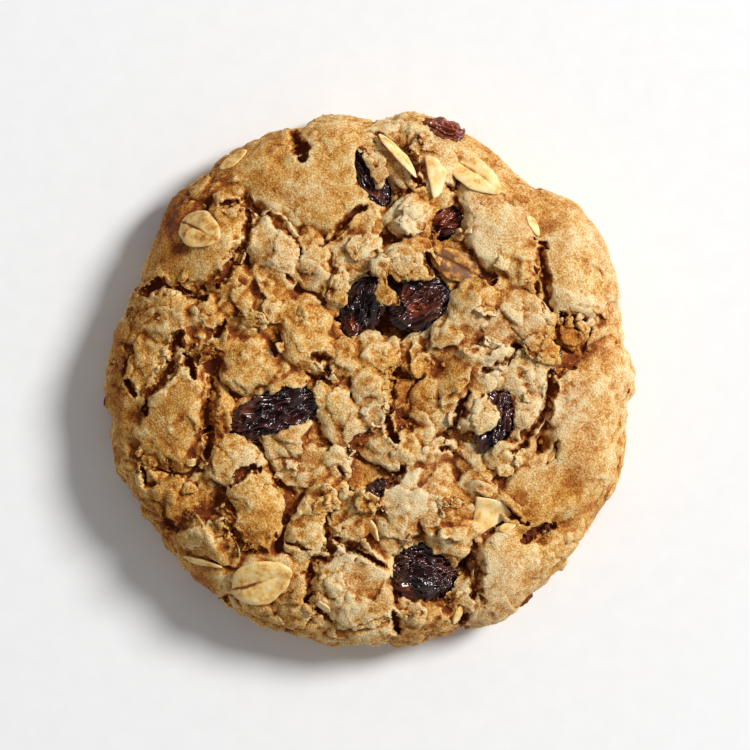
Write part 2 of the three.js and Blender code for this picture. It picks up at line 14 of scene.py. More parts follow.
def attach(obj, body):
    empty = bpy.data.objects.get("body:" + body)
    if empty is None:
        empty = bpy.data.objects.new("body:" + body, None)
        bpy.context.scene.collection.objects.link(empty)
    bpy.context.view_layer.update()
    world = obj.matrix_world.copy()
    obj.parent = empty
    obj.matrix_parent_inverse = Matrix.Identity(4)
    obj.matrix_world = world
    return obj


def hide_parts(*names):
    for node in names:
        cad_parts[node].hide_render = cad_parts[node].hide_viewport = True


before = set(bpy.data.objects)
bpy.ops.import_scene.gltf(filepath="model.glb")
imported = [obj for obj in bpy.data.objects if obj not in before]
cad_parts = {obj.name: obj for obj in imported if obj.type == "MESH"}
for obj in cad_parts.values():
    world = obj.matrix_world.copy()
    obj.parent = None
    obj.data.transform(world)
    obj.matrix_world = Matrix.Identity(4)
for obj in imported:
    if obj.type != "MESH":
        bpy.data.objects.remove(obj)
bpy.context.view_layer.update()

# ------------------------------------------------------------------------------------------------
# The dough. One round of stiff dough, dropped on a sheet, that spreads and cracks as it bakes. Its top
# is lumps of dough-coated oats that have pulled apart, its foot is flat and its flank is rounded.

# In mm: the shift that brings the middle of the cookie to the origin, and its sizes
CENTRING = np.array([-0.1695, -0.1519, 0.0])
RADIUS = 38.0  # half its usual width
DOME = 12.5  # top of the plain dough under the lumps, at the middle
BELLY = 4.6  # height at which the cookie is widest
TUCK = 1.8  # how far the foot lies inside the widest line
CROWN_POWER = 3.8  # squareness of the plain dough's section
FILL = 1.0  # how much higher the dough between the lumps stands than the plain dough
CORE_INSET = 1.1  # how far the plain dough stays inside the outline
OUTERMOST = 0.96  # as a share of the outline: the dome's slope isn't followed beyond it
LUMP_SINK = 2.2  # depth of a lump's middle in the plain dough
LUMP_SPREAD = 1.12  # how far each lump runs in under its neighbours
TOP_POWER = 3.0  # squareness of the lumps of the top, seen from above
FLANK_POWER = 2.5  # the same for the lumps of the flank and the valleys

# Half the width of the cookie at every ten degrees from +X
RIM_RADII = [
    38.1, 36.6, 38.0, 39.2, 39.0, 36.4, 36.8, 38.0, 38.8,
    37.2, 38.5, 37.9, 38.0, 38.0, 37.7, 36.7, 36.4, 37.0,
    38.0, 38.2, 38.3, 38.0, 38.2, 38.3, 38.6, 38.9, 38.8,
    38.8, 38.4, 38.5, 39.3, 38.6, 38.4, 38.0, 38.6, 37.4,
]

# The lumps of the top: x, y, length, width, turn of the length from +X in degrees, rise above the plain
# dough and, where it isn't 0, how much narrower it gets towards its far end
LUMPS = [
    # back left, from the rim inwards
    [-25.4, 24.8, 8.4, 6.6, 45, 1.6], [-19, 30.6, 7.2, 5.2, 40, 1.7], [-24.3, 18.2, 11, 9.5, 0, 2.6],
    [-19.6, 21.1, 9.6, 5.8, 80, 3.2], [-29, 15.6, 7.6, 6.2, 45, 2], [-14, 30, 12.5, 8, -65, 2.9],
    [-18.8, 27.5, 8.4, 5.6, 30, 2.1], [-10, 26, 8.4, 6.4, -50, 2.9],
    [-13.3, 18.5, 10.4, 7.4, -70, 3.1, 0.15], [-18.8, 12.8, 6.6, 6.2, -60, 2.9],
    [-14.4, 13.9, 5.8, 4.6, -50, 2.4], [-29, 8.7, 11.4, 7.4, -25, 3.2], [-30.3, 2.6, 9.4, 5.8, 40, 2.9],
    [-23.6, 9.3, 6.4, 5.4, -40, 3.1], [-23.8, 5.2, 5.6, 5, 20, 2.6], [-34, 3.8, 7.4, 5.4, -68, 1.9],
    # back middle
    [-5.6, 28.4, 15.5, 12.4, 75, 3.2], [-3.4, 35.6, 8, 6, 5, 1.7], [9.3, 32.8, 9, 7.4, 75, 2.8],
    [3.4, 34.6, 6.4, 4.8, -30, 1.5], [3.9, 30.1, 10.6, 3.6, -54, 3.7], [0.3, 31.2, 5.2, 3.6, 100, 3.5],
    [-0.3, 22.2, 6.2, 5.4, 30, 2.6], [5.6, 22.3, 6.2, 5.6, 0, 3], [8.3, 25.6, 7.4, 3.6, 0, 2.4],
    [-8, 16.5, 9, 5.8, -75, 2.7], [-1.9, 17.8, 7.8, 5.4, 20, 3], [-4.6, 13.8, 7.8, 3.4, 78, 2.6],
    [5.6, 17.1, 7.6, 4.6, -15, 3.6], [9.4, 28.4, 6.6, 4.6, 70, 2.8],
    # back right
    [16.6, 28.9, 12.2, 7.4, -40, 2.7], [18, 20.6, 12.6, 8.8, -55, 3.3], [21.4, 15.6, 7.2, 5, 80, 3],
    [25, 24, 9.8, 7.2, -25, 2.4], [29.2, 17.2, 15.4, 10, -68, 2.9], [27.4, 12.6, 7.4, 3.4, 100, 2.9],
    [15.4, 10.9, 9.8, 5.2, 30, 2.9], [12.6, 7.4, 9.4, 4.8, 50, 2.7], [20.3, 8.3, 10.8, 7.6, -20, 3.1],
    [13.9, 3.3, 8, 5.2, 40, 2.6], [18, 4.6, 7.2, 4.6, 35, 2.7], [28, 6, 4.6, 3.4, 0, 2.4],
    [33, 6.4, 7.8, 6, 70, 2],
    # middle left
    [-34.6, -2.8, 7.8, 6, 80, 1.9], [-33.2, -8.4, 9.2, 5.8, 75, 2], [-27.2, -4.5, 14.8, 8.4, 75, 3.4, 0.2],
    [-31.9, -0.8, 5.2, 4, 45, 1.8], [-17, 8, 6.8, 5.2, -10, 2.4], [-13.2, 9.4, 6.4, 6, 0, 2.4],
    [-20.5, 5, 5.4, 3.6, 75, 2.6], [-17, 2.2, 8.4, 7.2, -20, 3.2], [-9.3, 6, 10.6, 6.8, -70, 3.3],
    [-12, 0.8, 6.4, 5.8, 0, 2.6], [-20.9, -4, 6.6, 3.4, 105, 2.6], [-19.5, -11.6, 8.8, 6.8, -25, 3],
    # middle
    [-3, 2.2, 7.2, 5.8, -10, 2.7], [0.6, 3.3, 5.4, 4.8, 80, 2.8], [0.2, -2.4, 9.2, 4.5, -70, 3.2],
    [-4.1, -4.9, 9.8, 6.4, -50, 2.9], [-10.9, -8, 6.6, 5.2, 10, 3.1], [-8.8, -12.2, 8.4, 5.6, 0, 2.2],
    [-4.5, -11, 5.2, 3, 80, 2.5], [6.2, 3.2, 5.4, 4.6, 0, 1.1], [4.2, -2.3, 5.4, 4.8, 0, 1],
    [9.8, -3.3, 9.4, 5.8, 65, 2.3], [3.8, -9.8, 9.6, 6, -10, 2.7], [12.6, -0.3, 5.8, 4.6, 40, 2.5],
    [8.6, -9.6, 6.4, 5, -30, 2],
    # middle right
    [22.6, 0.1, 8.4, 6.2, -15, 3.4], [17.4, 0.4, 5.6, 3.4, 0, 2.9], [21.8, -6.2, 10.6, 4.9, 82, 2.9],
    [15.4, -4.6, 5.6, 4.2, 75, 3.7], [18.8, -10.1, 5, 4.4, 10, 2.6], [14.2, -11.4, 5, 4, -30, 1.4],
    [33.6, 0.4, 8.4, 7, -10, 2.3], [29, -3.4, 10.2, 9, 15, 3.1], [30.4, -9, 19, 11, 80, 2.9],
    [23.4, -12.6, 5, 4, 60, 2.2], [29.2, -17, 10.6, 8.4, 50, 2.4],
    # front left
    [-31.9, -14.4, 6.2, 4.8, -60, 1.8], [-29.2, -17.8, 5.8, 4.8, 10, 2], [-26.9, -17.2, 7, 4.8, 100, 2.7],
    [-23.3, -21.5, 7.6, 4.9, -40, 3.1], [-19.9, -22.8, 6.2, 2.6, -60, 2.7],
    [-23.6, -14.6, 6.4, 4.4, -30, 1.4], [-16, -18.6, 12, 6.2, 95, 3.4, -0.2],
    [-22.4, -27, 8.4, 5.4, -30, 1.8], [-14, -28.2, 12.4, 9.4, 5, 2.5], [-17.4, -31.4, 7.6, 4.4, -35, 1.5],
    [-11.6, -32, 6.4, 5, 10, 2.5],
    # front middle
    [-8.2, -20.7, 9.8, 4.6, 82, 3.1], [-2, -19.6, 8.6, 5.6, 70, 2.8], [-5.6, -15.6, 6, 4, -30, 2.5],
    [4.9, -18, 10.4, 7, 65, 3.4], [9.8, -17.7, 11.6, 6.8, -75, 2.9], [11.8, -21.6, 6.4, 4.2, 0, 2.9],
    [1.6, -22.4, 5.2, 3.6, -60, 1.8], [-1.8, -29.4, 12, 9.2, -60, 3.3], [-5.8, -27.5, 6.2, 3.2, 75, 2.9],
    [-0.8, -34.5, 9.8, 6.6, 0, 1.8], [7.4, -33, 8.8, 3.6, 5, 2.5], [9, -34.6, 9.4, 6.4, 8, 2.3],
    # front right
    [18.9, -27.4, 12.6, 7.8, 88, 3.2], [24, -26, 9.6, 7, 38, 2.3], [18, -32, 9.4, 5, 15, 1.8],
    [23.2, -16, 11, 9.4, 60, 2.7], [15.6, -15, 6.4, 4.4, 20, 2.3],
]

# The rows of lumps round the flank: count, height of their middles, their size up the flank, and how far
# they stay inside the outline
FLANK_ROWS = [[29, 3.3, 8.4, 0.4], [26, 7.4, 7.4, 0.9]]
FLANK_DEPTH = 8
FLANK_UNEVENNESS = 0.6

# Where the dough had parted before it set: x, y, length, width, turn and depth
VALLEYS = [
    [3.2, 10.6, 16, 9.5, 10, 3.4], [9, -28, 14, 10, 0, 3.6], [-25.6, 12.6, 7, 4, 0, 2.6],
    [-22.6, -5.4, 13, 3.6, 88, 2.4], [5, 0, 12, 7, 80, 2.6], [11, 22.4, 6.4, 5.4, 20, 3.4],
    [24.6, 14, 12, 3.4, 88, 2.8], [30.6, 5.2, 8, 2.6, 60, 2.4], [25.6, -20.9, 6, 4, 10, 2],
    [25.4, -8, 9, 3.2, 70, 2.4], [-19, 22, 10, 2.6, 75, 2.4], [-8.6, -29, 8, 2.6, 90, 2.2],
]

# Raisins: node, x, y, length, width, thickness, turn, height of the middle above the plain dough
RAISINS = [
    ["raisin_left", -13.4, -4.7, 14.4, 7, 6, 19, 0],
    ["raisin_middle", -0.9, 10.1, 10.8, 6.4, 5.4, 66, -0.9],
    ["raisin_under_flap", 7.3, 11, 9.4, 7, 5.6, 28, -0.5],
    ["raisin_front", 7.7, -27.2, 9.6, 8.6, 6, -12, -0.7],
    ["raisin_back", 0.2, 28.4, 9.6, 4.6, 4.6, 112, 1],
    ["raisin_right", 17.4, -5.5, 9, 5.4, 4.8, 72, 1.1],
    ["raisin_rim", 10.4, 35.3, 6, 4.2, 3.8, -15, 1.3],
    ["raisin_pit", 11, 22.2, 5.4, 4.6, 3.8, 15, -0.7],
    ["raisin_crack_right", 24.2, 4.3, 4.6, 2.8, 3, -28, 1.8],
    ["raisin_crack_front", 0.9, -15.9, 4.4, 2.4, 2.8, 60, 1.6],
]


def scatter(cells, seed):
    """A random number from 0 to 1 for each whole-numbered cell."""
    x, y, z = (cells[..., k].astype(np.uint32) for k in range(3))
    mixed = x * np.uint32(73856093) ^ y * np.uint32(19349663) ^ z * np.uint32(83492791)
    mixed = (mixed ^ np.uint32(seed * 7919 + 17)) * np.uint32(2654435761)
    mixed = (mixed ^ (mixed >> np.uint32(15))) * np.uint32(2246822519)
    return ((mixed ^ (mixed >> np.uint32(13))) & np.uint32(0xFFFFFF)) / float(0xFFFFFF)


ACROSS = np.array([[0.8, 0.36, -0.48], [-0.6, 0.48, -0.64], [0.0, 0.8, 0.6]])  # keeps noise off the axes


def swell(points, size, seed):
    """Smooth noise from -1 to 1 with humps of about that many millimetres; each seed gives other noise."""
    at = points @ ACROSS / size + 31.7 * seed
    corner = np.floor(at)
    share = at - corner
    share = share * share * (3 - 2 * share)
    corner = corner.astype(np.int64)
    total = np.zeros(len(points))
    for step in np.ndindex(2, 2, 2):
        weight = np.prod(np.where(step, share, 1 - share), axis=1)
        total += weight * scatter(corner + step, seed)
    return 2 * total - 1


def rugged(points, sizes, seed):
    """Several swells, each given as (size, height)."""
    return sum(height * swell(points, size, seed + k) for k, (size, height) in enumerate(sizes))


def astray(points, sizes, seeds):
    """How far each point strays along each axis: one run of swells for each seed."""
    return np.column_stack([rugged(points, sizes, seed) for seed in seeds])


def grainy(points, sizes, seed):
    """Packed grains with creases between them, each layer given as (size, height)."""
    layers = enumerate(sizes)
    return sum(height * (0.5 - 2 * np.abs(swell(points, size, seed + k))) for k, (size, height) in layers)


def ball(level, kept={}):
    """The points and triangles of a round ball, by how often it is divided; each is made once and kept."""
    if level not in kept:
        mesh = bmesh.new()
        bmesh.ops.create_icosphere(mesh, subdivisions=level, radius=1)
        points = np.array([v.co for v in mesh.verts])
        kept[level] = points, np.array([[v.index for v in f.verts] for f in mesh.faces])
        mesh.free()
    return kept[level]


def joined(parts):
    """One list of points and one of faces from several."""
    counts = np.cumsum([0] + [len(points) for points, _ in parts])
    faces = [faces + start for (_, faces), start in zip(parts, counts)]
    return np.concatenate([points for points, _ in parts]), np.concatenate(faces)


def as_object(name, points, faces):
    """A smooth-shaded object from points in the units of the caller."""
    mesh = bpy.data.meshes.new(name)
    mesh.vertices.add(len(points))
    mesh.vertices.foreach_set("co", np.asarray(points, np.float32).ravel())
    sides = faces.shape[1]
    mesh.loops.add(faces.size)
    mesh.loops.foreach_set("vertex_index", faces.astype(np.int32).ravel())
    mesh.polygons.add(len(faces))
    mesh.polygons.foreach_set("loop_start", np.arange(0, faces.size, sides, dtype=np.int32))
    mesh.update(calc_edges=True)
    mesh.validate()
    mesh.shade_smooth()
    made = bpy.data.objects.new(name, mesh)
    bpy.context.scene.collection.objects.link(made)
    return made


def apply_modifier(made, kind, **settings):
    """Puts one modifier on an object and makes its result the mesh."""
    modifier = made.modifiers.new(kind, kind)
    for key, value in settings.items():
        setattr(modifier, key, value)
    depsgraph = bpy.context.evaluated_depsgraph_get()
    mesh = bpy.data.meshes.new_from_object(made.evaluated_get(depsgraph))
    made.modifiers.clear()
    made.data, old = mesh, made.data
    bpy.data.meshes.remove(old)


def read_points(mesh, group="vertices", field="co"):
    """The points, or another list of vectors, of a mesh."""
    items = getattr(mesh, group)
    values = np.zeros(len(items) * 3, np.float32)
    items.foreach_get(field, values)
    return values.reshape(-1, 3).astype(float)


def rim_radius(angle):
    """The outline's radius, smooth between the values in RIM_RADII."""
    at = np.degrees(angle) % 360 / 10
    k = np.floor(at).astype(int)
    a, b, c, d = (np.take(RIM_RADII, k + i, mode="wrap") for i in (-1, 0, 1, 2))
    t = at - k
    second, third = 2 * a - 5 * b + 4 * c - d, 3 * b - a - 3 * c + d
    return 0.5 * (2 * b + (c - a) * t + second * t**2 + third * t**3)


def axes_of(along, normal):
    """Axes as columns: the first along that way, the last along the normal."""
    return np.column_stack([along, np.cross(normal, along), normal])


def unit(vector):
    """The same direction, with a length of 1."""
    return vector / np.linalg.norm(vector)


def cos_sin(degrees):
    """The cosine and the sine of an angle in degrees."""
    return math.cos(math.radians(degrees)), math.sin(math.radians(degrees))


def place_on_dome(x, y, turn, height):
    """Axes and middle of what lies over (x, y) on the plain dough, turned so far from +X."""
    angle = math.atan2(y, x)
    rim = float(rim_radius(angle)) - CORE_INSET
    share = min(math.hypot(x, y) / rim, OUTERMOST)
    root = math.sqrt(1 - share**CROWN_POWER)
    slope = (DOME - BELLY) * CROWN_POWER * share ** (CROWN_POWER - 1) / (2 * rim * root)
    normal = unit(np.array([slope * math.cos(angle), slope * math.sin(angle), 1]))
    heading = np.array([*cos_sin(turn), 0])
    along = unit(heading - normal * (heading @ normal))
    out = share * rim
    middle = np.array([out * math.cos(angle), out * math.sin(angle), BELLY + (DOME - BELLY) * root])
    return axes_of(along, normal), middle + height * normal


def placed(form, axes, middle):
    """The points and faces of a form, turned to those axes and moved to that middle."""
    points, faces = form
    return points @ axes.T + middle, faces


def dough_core(sides=180):
    """The plain dough: a superellipse dome on a tucked foot, turned round the outline."""
    t = np.linspace(0, np.pi / 2, 40)[1:]
    crown = np.column_stack([np.sin(t) ** (2 / CROWN_POWER), BELLY + (DOME + FILL - BELLY) * np.cos(t)])
    foot = np.column_stack([1 - TUCK / RADIUS * (1 - np.cos(t[::3])), BELLY * (1 - np.sin(t[::3]))])
    foot[-1, 1] = -1
    section = np.concatenate([crown, foot])
    angles = np.linspace(0, 2 * np.pi, sides, endpoint=False)
    reach = (rim_radius(angles) - CORE_INSET)[:, None] * section[:, 0]
    heights = np.tile(section[:, 1], (sides, 1))
    rings = np.stack([reach * np.cos(angles)[:, None], reach * np.sin(angles)[:, None], heights], axis=2)
    rows = len(section)
    points = np.concatenate([rings.reshape(-1, 3), [[0, 0, DOME + FILL], [0, 0, -1]]])
    top, bottom = sides * rows, sides * rows + 1
    faces = []
    for i in range(sides):
        j = (i + 1) % sides
        faces.append([top, i * rows, j * rows])
        faces.append([bottom, j * rows + rows - 1, i * rows + rows - 1])
        for k in range(rows - 1):
            a, b, c, d = i * rows + k, i * rows + k + 1, j * rows + k + 1, j * rows + k
            faces += [[a, b, c], [a, c, d]]
    return points, np.array(faces)


KNOBS = 0.05  # how high the knobs of a lump stand, as a share of its size


def pebble(length, width, height, taper, power, order, level):
    """A squared pebble, with knobs that differ from one to the next."""
    points, faces = ball(level)
    square = (np.abs(points) ** power).sum(axis=1) ** (-1 / power)
    x, y, _ = points.T
    waves = [4.1 * x + 1.7 * order, 4.7 * y + 2.9 * order, 6.3 * (x - y) + order]
    points = points * (square * (1 + KNOBS * sum(np.sin(wave) for wave in waves)))[:, None]
    points[:, 1] *= 1 - taper * points[:, 0]
    return points * [length / 2, width / 2, height], faces


PLATE_SIDES = (5, 9)  # at least the first and fewer than the second
CORNER_POWER = 8.0  # how sharp a plate's corners are, seen from above
SIDE_REACH = (0.84, 1.03)  # how far each side of a plate lies from its middle
EDGE_POWER = 11.0  # how sharply a plate's top turns down into its sides
CROWNING = 0.1  # how much lower a plate's top is at its edge
FLARE = 0.22  # how much wider a plate is at its foot
LUMP_TIPPING = 5.0  # degrees, how far plates lean as they part
WAVER = 0.4  # mm, how far they stray sideways


def plate(length, width, height, taper, order, level):
    """A broken plate of dough: a nearly flat top, straight torn sides and a foot that flares."""
    points, faces = ball(level)
    x, y, z = points.T
    shape = np.random.default_rng(order)
    sides = shape.integers(*PLATE_SIDES)
    turns = 2 * np.pi * (np.arange(sides) + shape.uniform(-0.25, 0.25, sides)) / sides + shape.uniform(0, 1)
    reach = shape.uniform(*SIDE_REACH, sides)
    beyond = np.maximum(np.outer(x, np.cos(turns)) + np.outer(y, np.sin(turns)), 0) / reach
    flat = (beyond**CORNER_POWER).sum(axis=1) ** (1 / CORNER_POWER)
    square = (flat**EDGE_POWER + np.abs(z) ** EDGE_POWER) ** (-1 / EDGE_POWER)
    points = points * square[:, None]
    spread = 1 + FLARE * np.clip(1 - points[:, 2], 0, 0.8)
    crown = 1 - CROWNING * (points[:, :2] ** 2).sum(axis=1)
    points = points * np.column_stack([spread, spread, crown])
    points[:, 1] *= 1 - taper * points[:, 0]
    return points * [length / 2, width / 2, height], faces


def tipped(axes):
    """Those axes, leaning a few degrees."""
    lean = np.eye(3)
    lean[:2, 2] = np.radians(draw.normal(0, LUMP_TIPPING, 2))
    lean[2, :2] = -lean[:2, 2]
    return axes @ lean


def wavered(points):
    """A slow waver that takes the evenness out of the lumps and keeps neighbours fitting each other."""
    x, y, z = points.T
    dx = np.sin(0.93 * y + 1.4 * np.sin(0.41 * x)) + 0.5 * np.sin(2.1 * y + 1.1 * z)
    dy = np.sin(0.87 * x + 1.2 * np.sin(0.47 * y) + 2) + 0.5 * np.sin(1.9 * x + 1.3 * z)
    return points + WAVER * np.column_stack([dx, dy, 0 * z])


# Torn edges: each lump's skin is pushed in and out by noise of its own, given as (size, height) in mm
TEARS = [(3.0, 0.32), (1.3, 0.28), (0.6, 0.2)]
TEAR_RISE = 0.2  # how much of it goes up or down, against sideways


def torn(points, middle, order):
    """A lump with its skin torn, mostly sideways."""
    outward = points - middle
    outward /= np.linalg.norm(outward, axis=1)[:, None]
    outward[:, 2] *= TEAR_RISE
    return points + outward * rugged(points, TEARS, 3 * order + 1)[:, None]


# Oats under the dough: each lump has a few rolled oats just below its skin, whose rims stand out
OATS_ON_A_LUMP = 2
OAT_LENGTHS = (4.2, 7.0)
OAT_WIDTHS = (0.55, 0.75)  # as shares of the length
OAT_THICKNESS = 0.9
OAT_BOW = 0.03  # how fast an oat's ends bend down from its middle
OAT_STEEPNESS = (1.2, 3)  # more for oats nearer the top of the lump
OAT_DEPTH = 0.94  # how far out from the lump's middle they lie, where its skin is at 1
OAT_TILT = 0.1
OAT_ROUGHNESS = [(1.1, 0.16)]

draw = np.random.default_rng(44)


def coated_oat(axes, middle, half):
    """A rolled oat half sunk in the skin of a lump with those axes, middle and half sizes."""
    around = draw.uniform(0, 2 * np.pi)
    out = np.array([math.cos(around), math.sin(around), draw.uniform(*OAT_STEEPNESS)])
    out /= (np.abs(out) ** TOP_POWER).sum() ** (1 / TOP_POWER)
    at = middle + axes @ (out * half * OAT_DEPTH)
    normal = unit(axes @ (np.abs(out) ** (TOP_POWER - 1) * np.sign(out) / half))
    normal = unit(normal + draw.normal(0, OAT_TILT, 3))
    along = unit(np.cross(normal, draw.normal(0, 1, 3)))
    length = draw.uniform(*OAT_LENGTHS)
    width = length * draw.uniform(*OAT_WIDTHS)
    points, faces = pebble(length, width, OAT_THICKNESS / 2, 0.15, 2.3, draw.uniform(0, 9), 4)
    points[:, 2] -= OAT_BOW * points[:, 0] ** 2
    points = points @ axes_of(along, normal).T + at
    return points + astray(points, OAT_ROUGHNESS, (61, 62, 63)), faces


# Rubble: broken bits of dough that stick in the cracks
RUBBLE_ON_A_LUMP = 4
RUBBLE_SIZES = (0.8, 2.4)
RUBBLE_STEEPNESS = (0.3, 0.75)  # more for bits nearer the top of the lump
RUBBLE_ROUGHNESS = [(0.9, 0.2)]


def rubble(axes, middle, half):
    """A bit of dough stuck at the edge of a lump, below its top."""
    around = draw.uniform(0, 2 * np.pi)
    out = np.array([math.cos(around), math.sin(around), draw.uniform(*RUBBLE_STEEPNESS)])
    out[:2] /= (np.abs(out[:2]) ** TOP_POWER).sum() ** (1 / TOP_POWER)
    size = draw.uniform(*RUBBLE_SIZES)
    points, faces = plate(size, size * draw.uniform(0.6, 1), size * 0.35, 0, int(draw.integers(1000)), 4)
    turn = np.linalg.qr(draw.normal(0, 1, (3, 3)))[0]
    points = points @ turn + middle + axes @ (out * half)
    return points + astray(points, RUBBLE_ROUGHNESS, (71, 72, 73)), faces


def seeded_draws(seed):
    """The same run of random numbers that the solid's flank has."""
    state = seed
    while True:
        state = state * 16807 % 2147483647
        yield state / 2147483647


flank_run = seeded_draws(20)
FLANK_OVERLAP = 1.35  # how much wider the lumps are than their share of the outline


def flank_lump(row, k):
    """One lump of a row round the flank."""
    count, middle, height, inset = FLANK_ROWS[row]
    turn, stray, rise, spread = (2 * next(flank_run) - 1 for _ in range(4))
    angle = 2 * math.pi * (k + 0.3 * turn) / count
    reach = float(rim_radius(angle)) - inset + FLANK_UNEVENNESS * stray
    width = 2 * math.pi * reach / count * (FLANK_OVERLAP + 0.2 * spread)
    points, faces = pebble(width, FLANK_DEPTH, height / 2, 0, FLANK_POWER, 5 * row + k + 0.3, 5)
    x, y, z = points.T
    points = np.column_stack([reach - FLANK_DEPTH / 2 - y, x, z + middle + FLANK_UNEVENNESS * rise])
    cos, sin = math.cos(angle), math.sin(angle)
    points = points @ np.array([[cos, sin, 0], [-sin, cos, 0], [0, 0, 1]])
    return torn(points, points.mean(axis=0), 200 + 40 * row + k), faces


# The form of a raisin, which its socket has as well
RAISIN_FOLDS = 7
FOLD_DEPTH = 0.1
BLUNTNESS = 0.12  # how much thicker one end is than the middle
BEND = 0.04  # how far the middle stands aside of the ends, as a share of the length


def raisin_form(length, width, thickness, grow, order, level):
    """A drawn-out ball with folds along it; grow makes room round it for its socket."""
    points, faces = ball(level)
    x, y, z = points.T
    wave = np.sin(RAISIN_FOLDS * np.arctan2(z, y) + 2.2 * x + order)
    fold = 1 - FOLD_DEPTH * (1 - x**4) * (0.5 + 0.5 * wave)
    blunt = 1 + BLUNTNESS * x * math.cos(order)
    bend = BEND * length * (1 - x * x) * math.sin(2 * order)
    return np.column_stack([
        x * (length / 2 + grow),
        y * (fold * blunt * width / 2 + grow) + bend,
        z * (fold * blunt * thickness / 2 + grow),
    ]), faces


def dome_height(points):
    """The height of the plain dough under each point."""
    x, y, _ = points.T
    share = np.minimum(np.hypot(x, y) / (rim_radius(np.arctan2(y, x)) - CORE_INSET), OUTERMOST)
    return BELLY + (DOME - BELLY) * np.sqrt(1 - share**CROWN_POWER)


def outline_reach(corners, angles):
    """How far the outline with those corners lies from the origin in each direction."""
    heading = np.stack([np.cos(angles), np.sin(angles)])
    reach = np.full(angles.shape, np.inf)
    for corner, side in zip(corners, np.roll(corners, -1, axis=0) - corners):
        facing = heading[0] * side[1] - heading[1] * side[0] + 1e-9
        away = (corner[0] * side[1] - corner[1] * side[0]) / facing
        share = (corner[0] * heading[1] - corner[1] * heading[0]) / facing
        reach = np.where((away > 0) & (abs(share - 0.5) < 0.501), np.minimum(reach, away), reach)
    return reach


# Thin sheets of dough that tore and lifted, or that cover a raisin: height above the plain dough,
# thickness, slopes along x and y, how fast they curl down from their middle, and their corners
SHEETS = [
    # the torn flap over two raisins, its fold and the curl that hangs from it
    [4.0, 0.9, 0.06, 0.1, 0.02, (0.9, 17.1), (2.8, 15.9), (2.7, 14.6), (4.2, 13.5), (6, 13.9), (8, 13.8),
     (9.1, 14.7), (8.3, 16.5), (7.7, 18), (5.5, 18.6), (3.3, 18.2)],
    [4.5, 0.6, 0.22, 0.05, 0.03, (3.2, 16.6), (3.6, 14.9), (5.3, 14.5), (6.6, 15.6), (6.2, 17.2),
     (4.6, 17.8)],
    [3.9, 0.6, 0.16, 0.1, 0.02, (0.2, 16.9), (0.3, 15.6), (1.1, 14.4), (0.7, 12), (1.7, 10.1), (3.2, 10.8),
     (4.2, 10.1), (4, 11.5), (2.7, 13.3), (2.6, 15.2), (3.2, 17)],
    # over raisins: at the back, at the right, in two cracks and at the rim
    [3.95, 1.0, 0, 0, 0.02, (-1.1, 33.4), (-0.9, 31), (0, 29), (0.9, 26.8), (2.2, 27.4), (2.5, 30),
     (1.9, 32.6), (0.4, 34)],
    [3.6, 1.6, 0, 0, 0.02, (14.1, -5.6), (14.6, -3), (16.2, -2.2), (18.1, -3.4), (18.2, -5.6), (17, -7.3),
     (15.2, -7.5)],
    [3.6, 1.5, 0, 0, 0, (21.6, 5.6), (22, 3.4), (25.4, 2), (27.2, 2.6), (26.6, 4.6), (23.6, 6.6)],
    [3.4, 1.4, 0, 0, 0, (-1.6, -15.6), (-1.6, -18.4), (0.6, -19.4), (2, -18), (1.2, -16.7), (0, -16)],
    [3.4, 1.4, 0, -0.1, 0, (6.8, 34.6), (8, 32.2), (11.4, 32), (12.6, 33.6), (10.8, 34.8), (8.6, 35.3)],
    # chips and slivers that stand on edge
    [3.4, 0.7, 0.1, 0.3, 0, (-18.7, 8.6), (-17.6, 7.4), (-15, 7.1), (-14.1, 8.2), (-15.4, 9.8),
     (-17.6, 10.1)],
    [3.3, 0.6, 0.2, 0.4, 0, (-21.7, -18), (-20.8, -17.3), (-18.3, -20.1), (-18.7, -21)],
    [3.2, 0.6, 0.3, 0.2, 0, (-21.3, -20), (-20.4, -19.6), (-18.1, -24.2), (-18.9, -24.7)],
    [3.3, 0.6, 0.2, 0, 0, (10.8, 12.4), (12.2, 11.7), (12.8, 13.2), (11.6, 14.1)],
    [3.7, 0.8, -0.15, -0.2, 0.02, (3.7, 22), (5.1, 20.3), (7.3, 20.6), (8.1, 22.9), (6.7, 24.9),
     (4.5, 24.7)],
    [4.0, 0.8, -0.3, 0.35, 0.02, (4.6, 23.8), (4.5, 22.2), (6.2, 21.4), (7.2, 22.8), (6.4, 24.2)],
    [3.2, 0.7, 0, 0.1, 0.02, (-6, 12), (-5.3, 10.6), (-3.4, 10.9), (-2.8, 13.4), (-3.6, 16), (-5, 15.6)],
    [3.5, 0.6, 0.1, -0.2, 0, (-3.4, 18.2), (-2.2, 16.9), (0, 17.2), (0.9, 18.8), (-0.6, 20.3), (-2.6, 20)],
]
SHEET_TEARS = [(2.2, 0.3), (0.9, 0.3), (0.42, 0.16)]
SHEET_EDGE = 5  # how squarely a sheet's faces turn down into its sides


def sheet(height, thickness, slope_x, slope_y, curl, *corners, order, level=5):
    """One torn sheet of dough."""
    corners = np.array(corners, float)
    points, faces = ball(level)
    flat, upright = np.hypot(*points[:, :2].T), np.abs(points[:, 2])
    points = points * (flat**SHEET_EDGE + upright**SHEET_EDGE)[:, None] ** (-1 / SHEET_EDGE)
    angles = np.arctan2(points[:, 1], points[:, 0])
    away = points[:, :2] * outline_reach(corners - corners.mean(axis=0), angles)[:, None]
    flat = np.column_stack([away + corners.mean(axis=0), np.zeros(len(away))])
    lift = height + away @ [slope_x, slope_y] - curl * (away**2).sum(axis=1)
    first = 800 + 10 * order
    made = flat + astray(flat, SHEET_TEARS, (first, first + 3, first + 6)) * [1, 1, TEAR_RISE]
    made[:, 2] += dome_height(flat) + lift + points[:, 2] * thickness / 2
    return made, faces


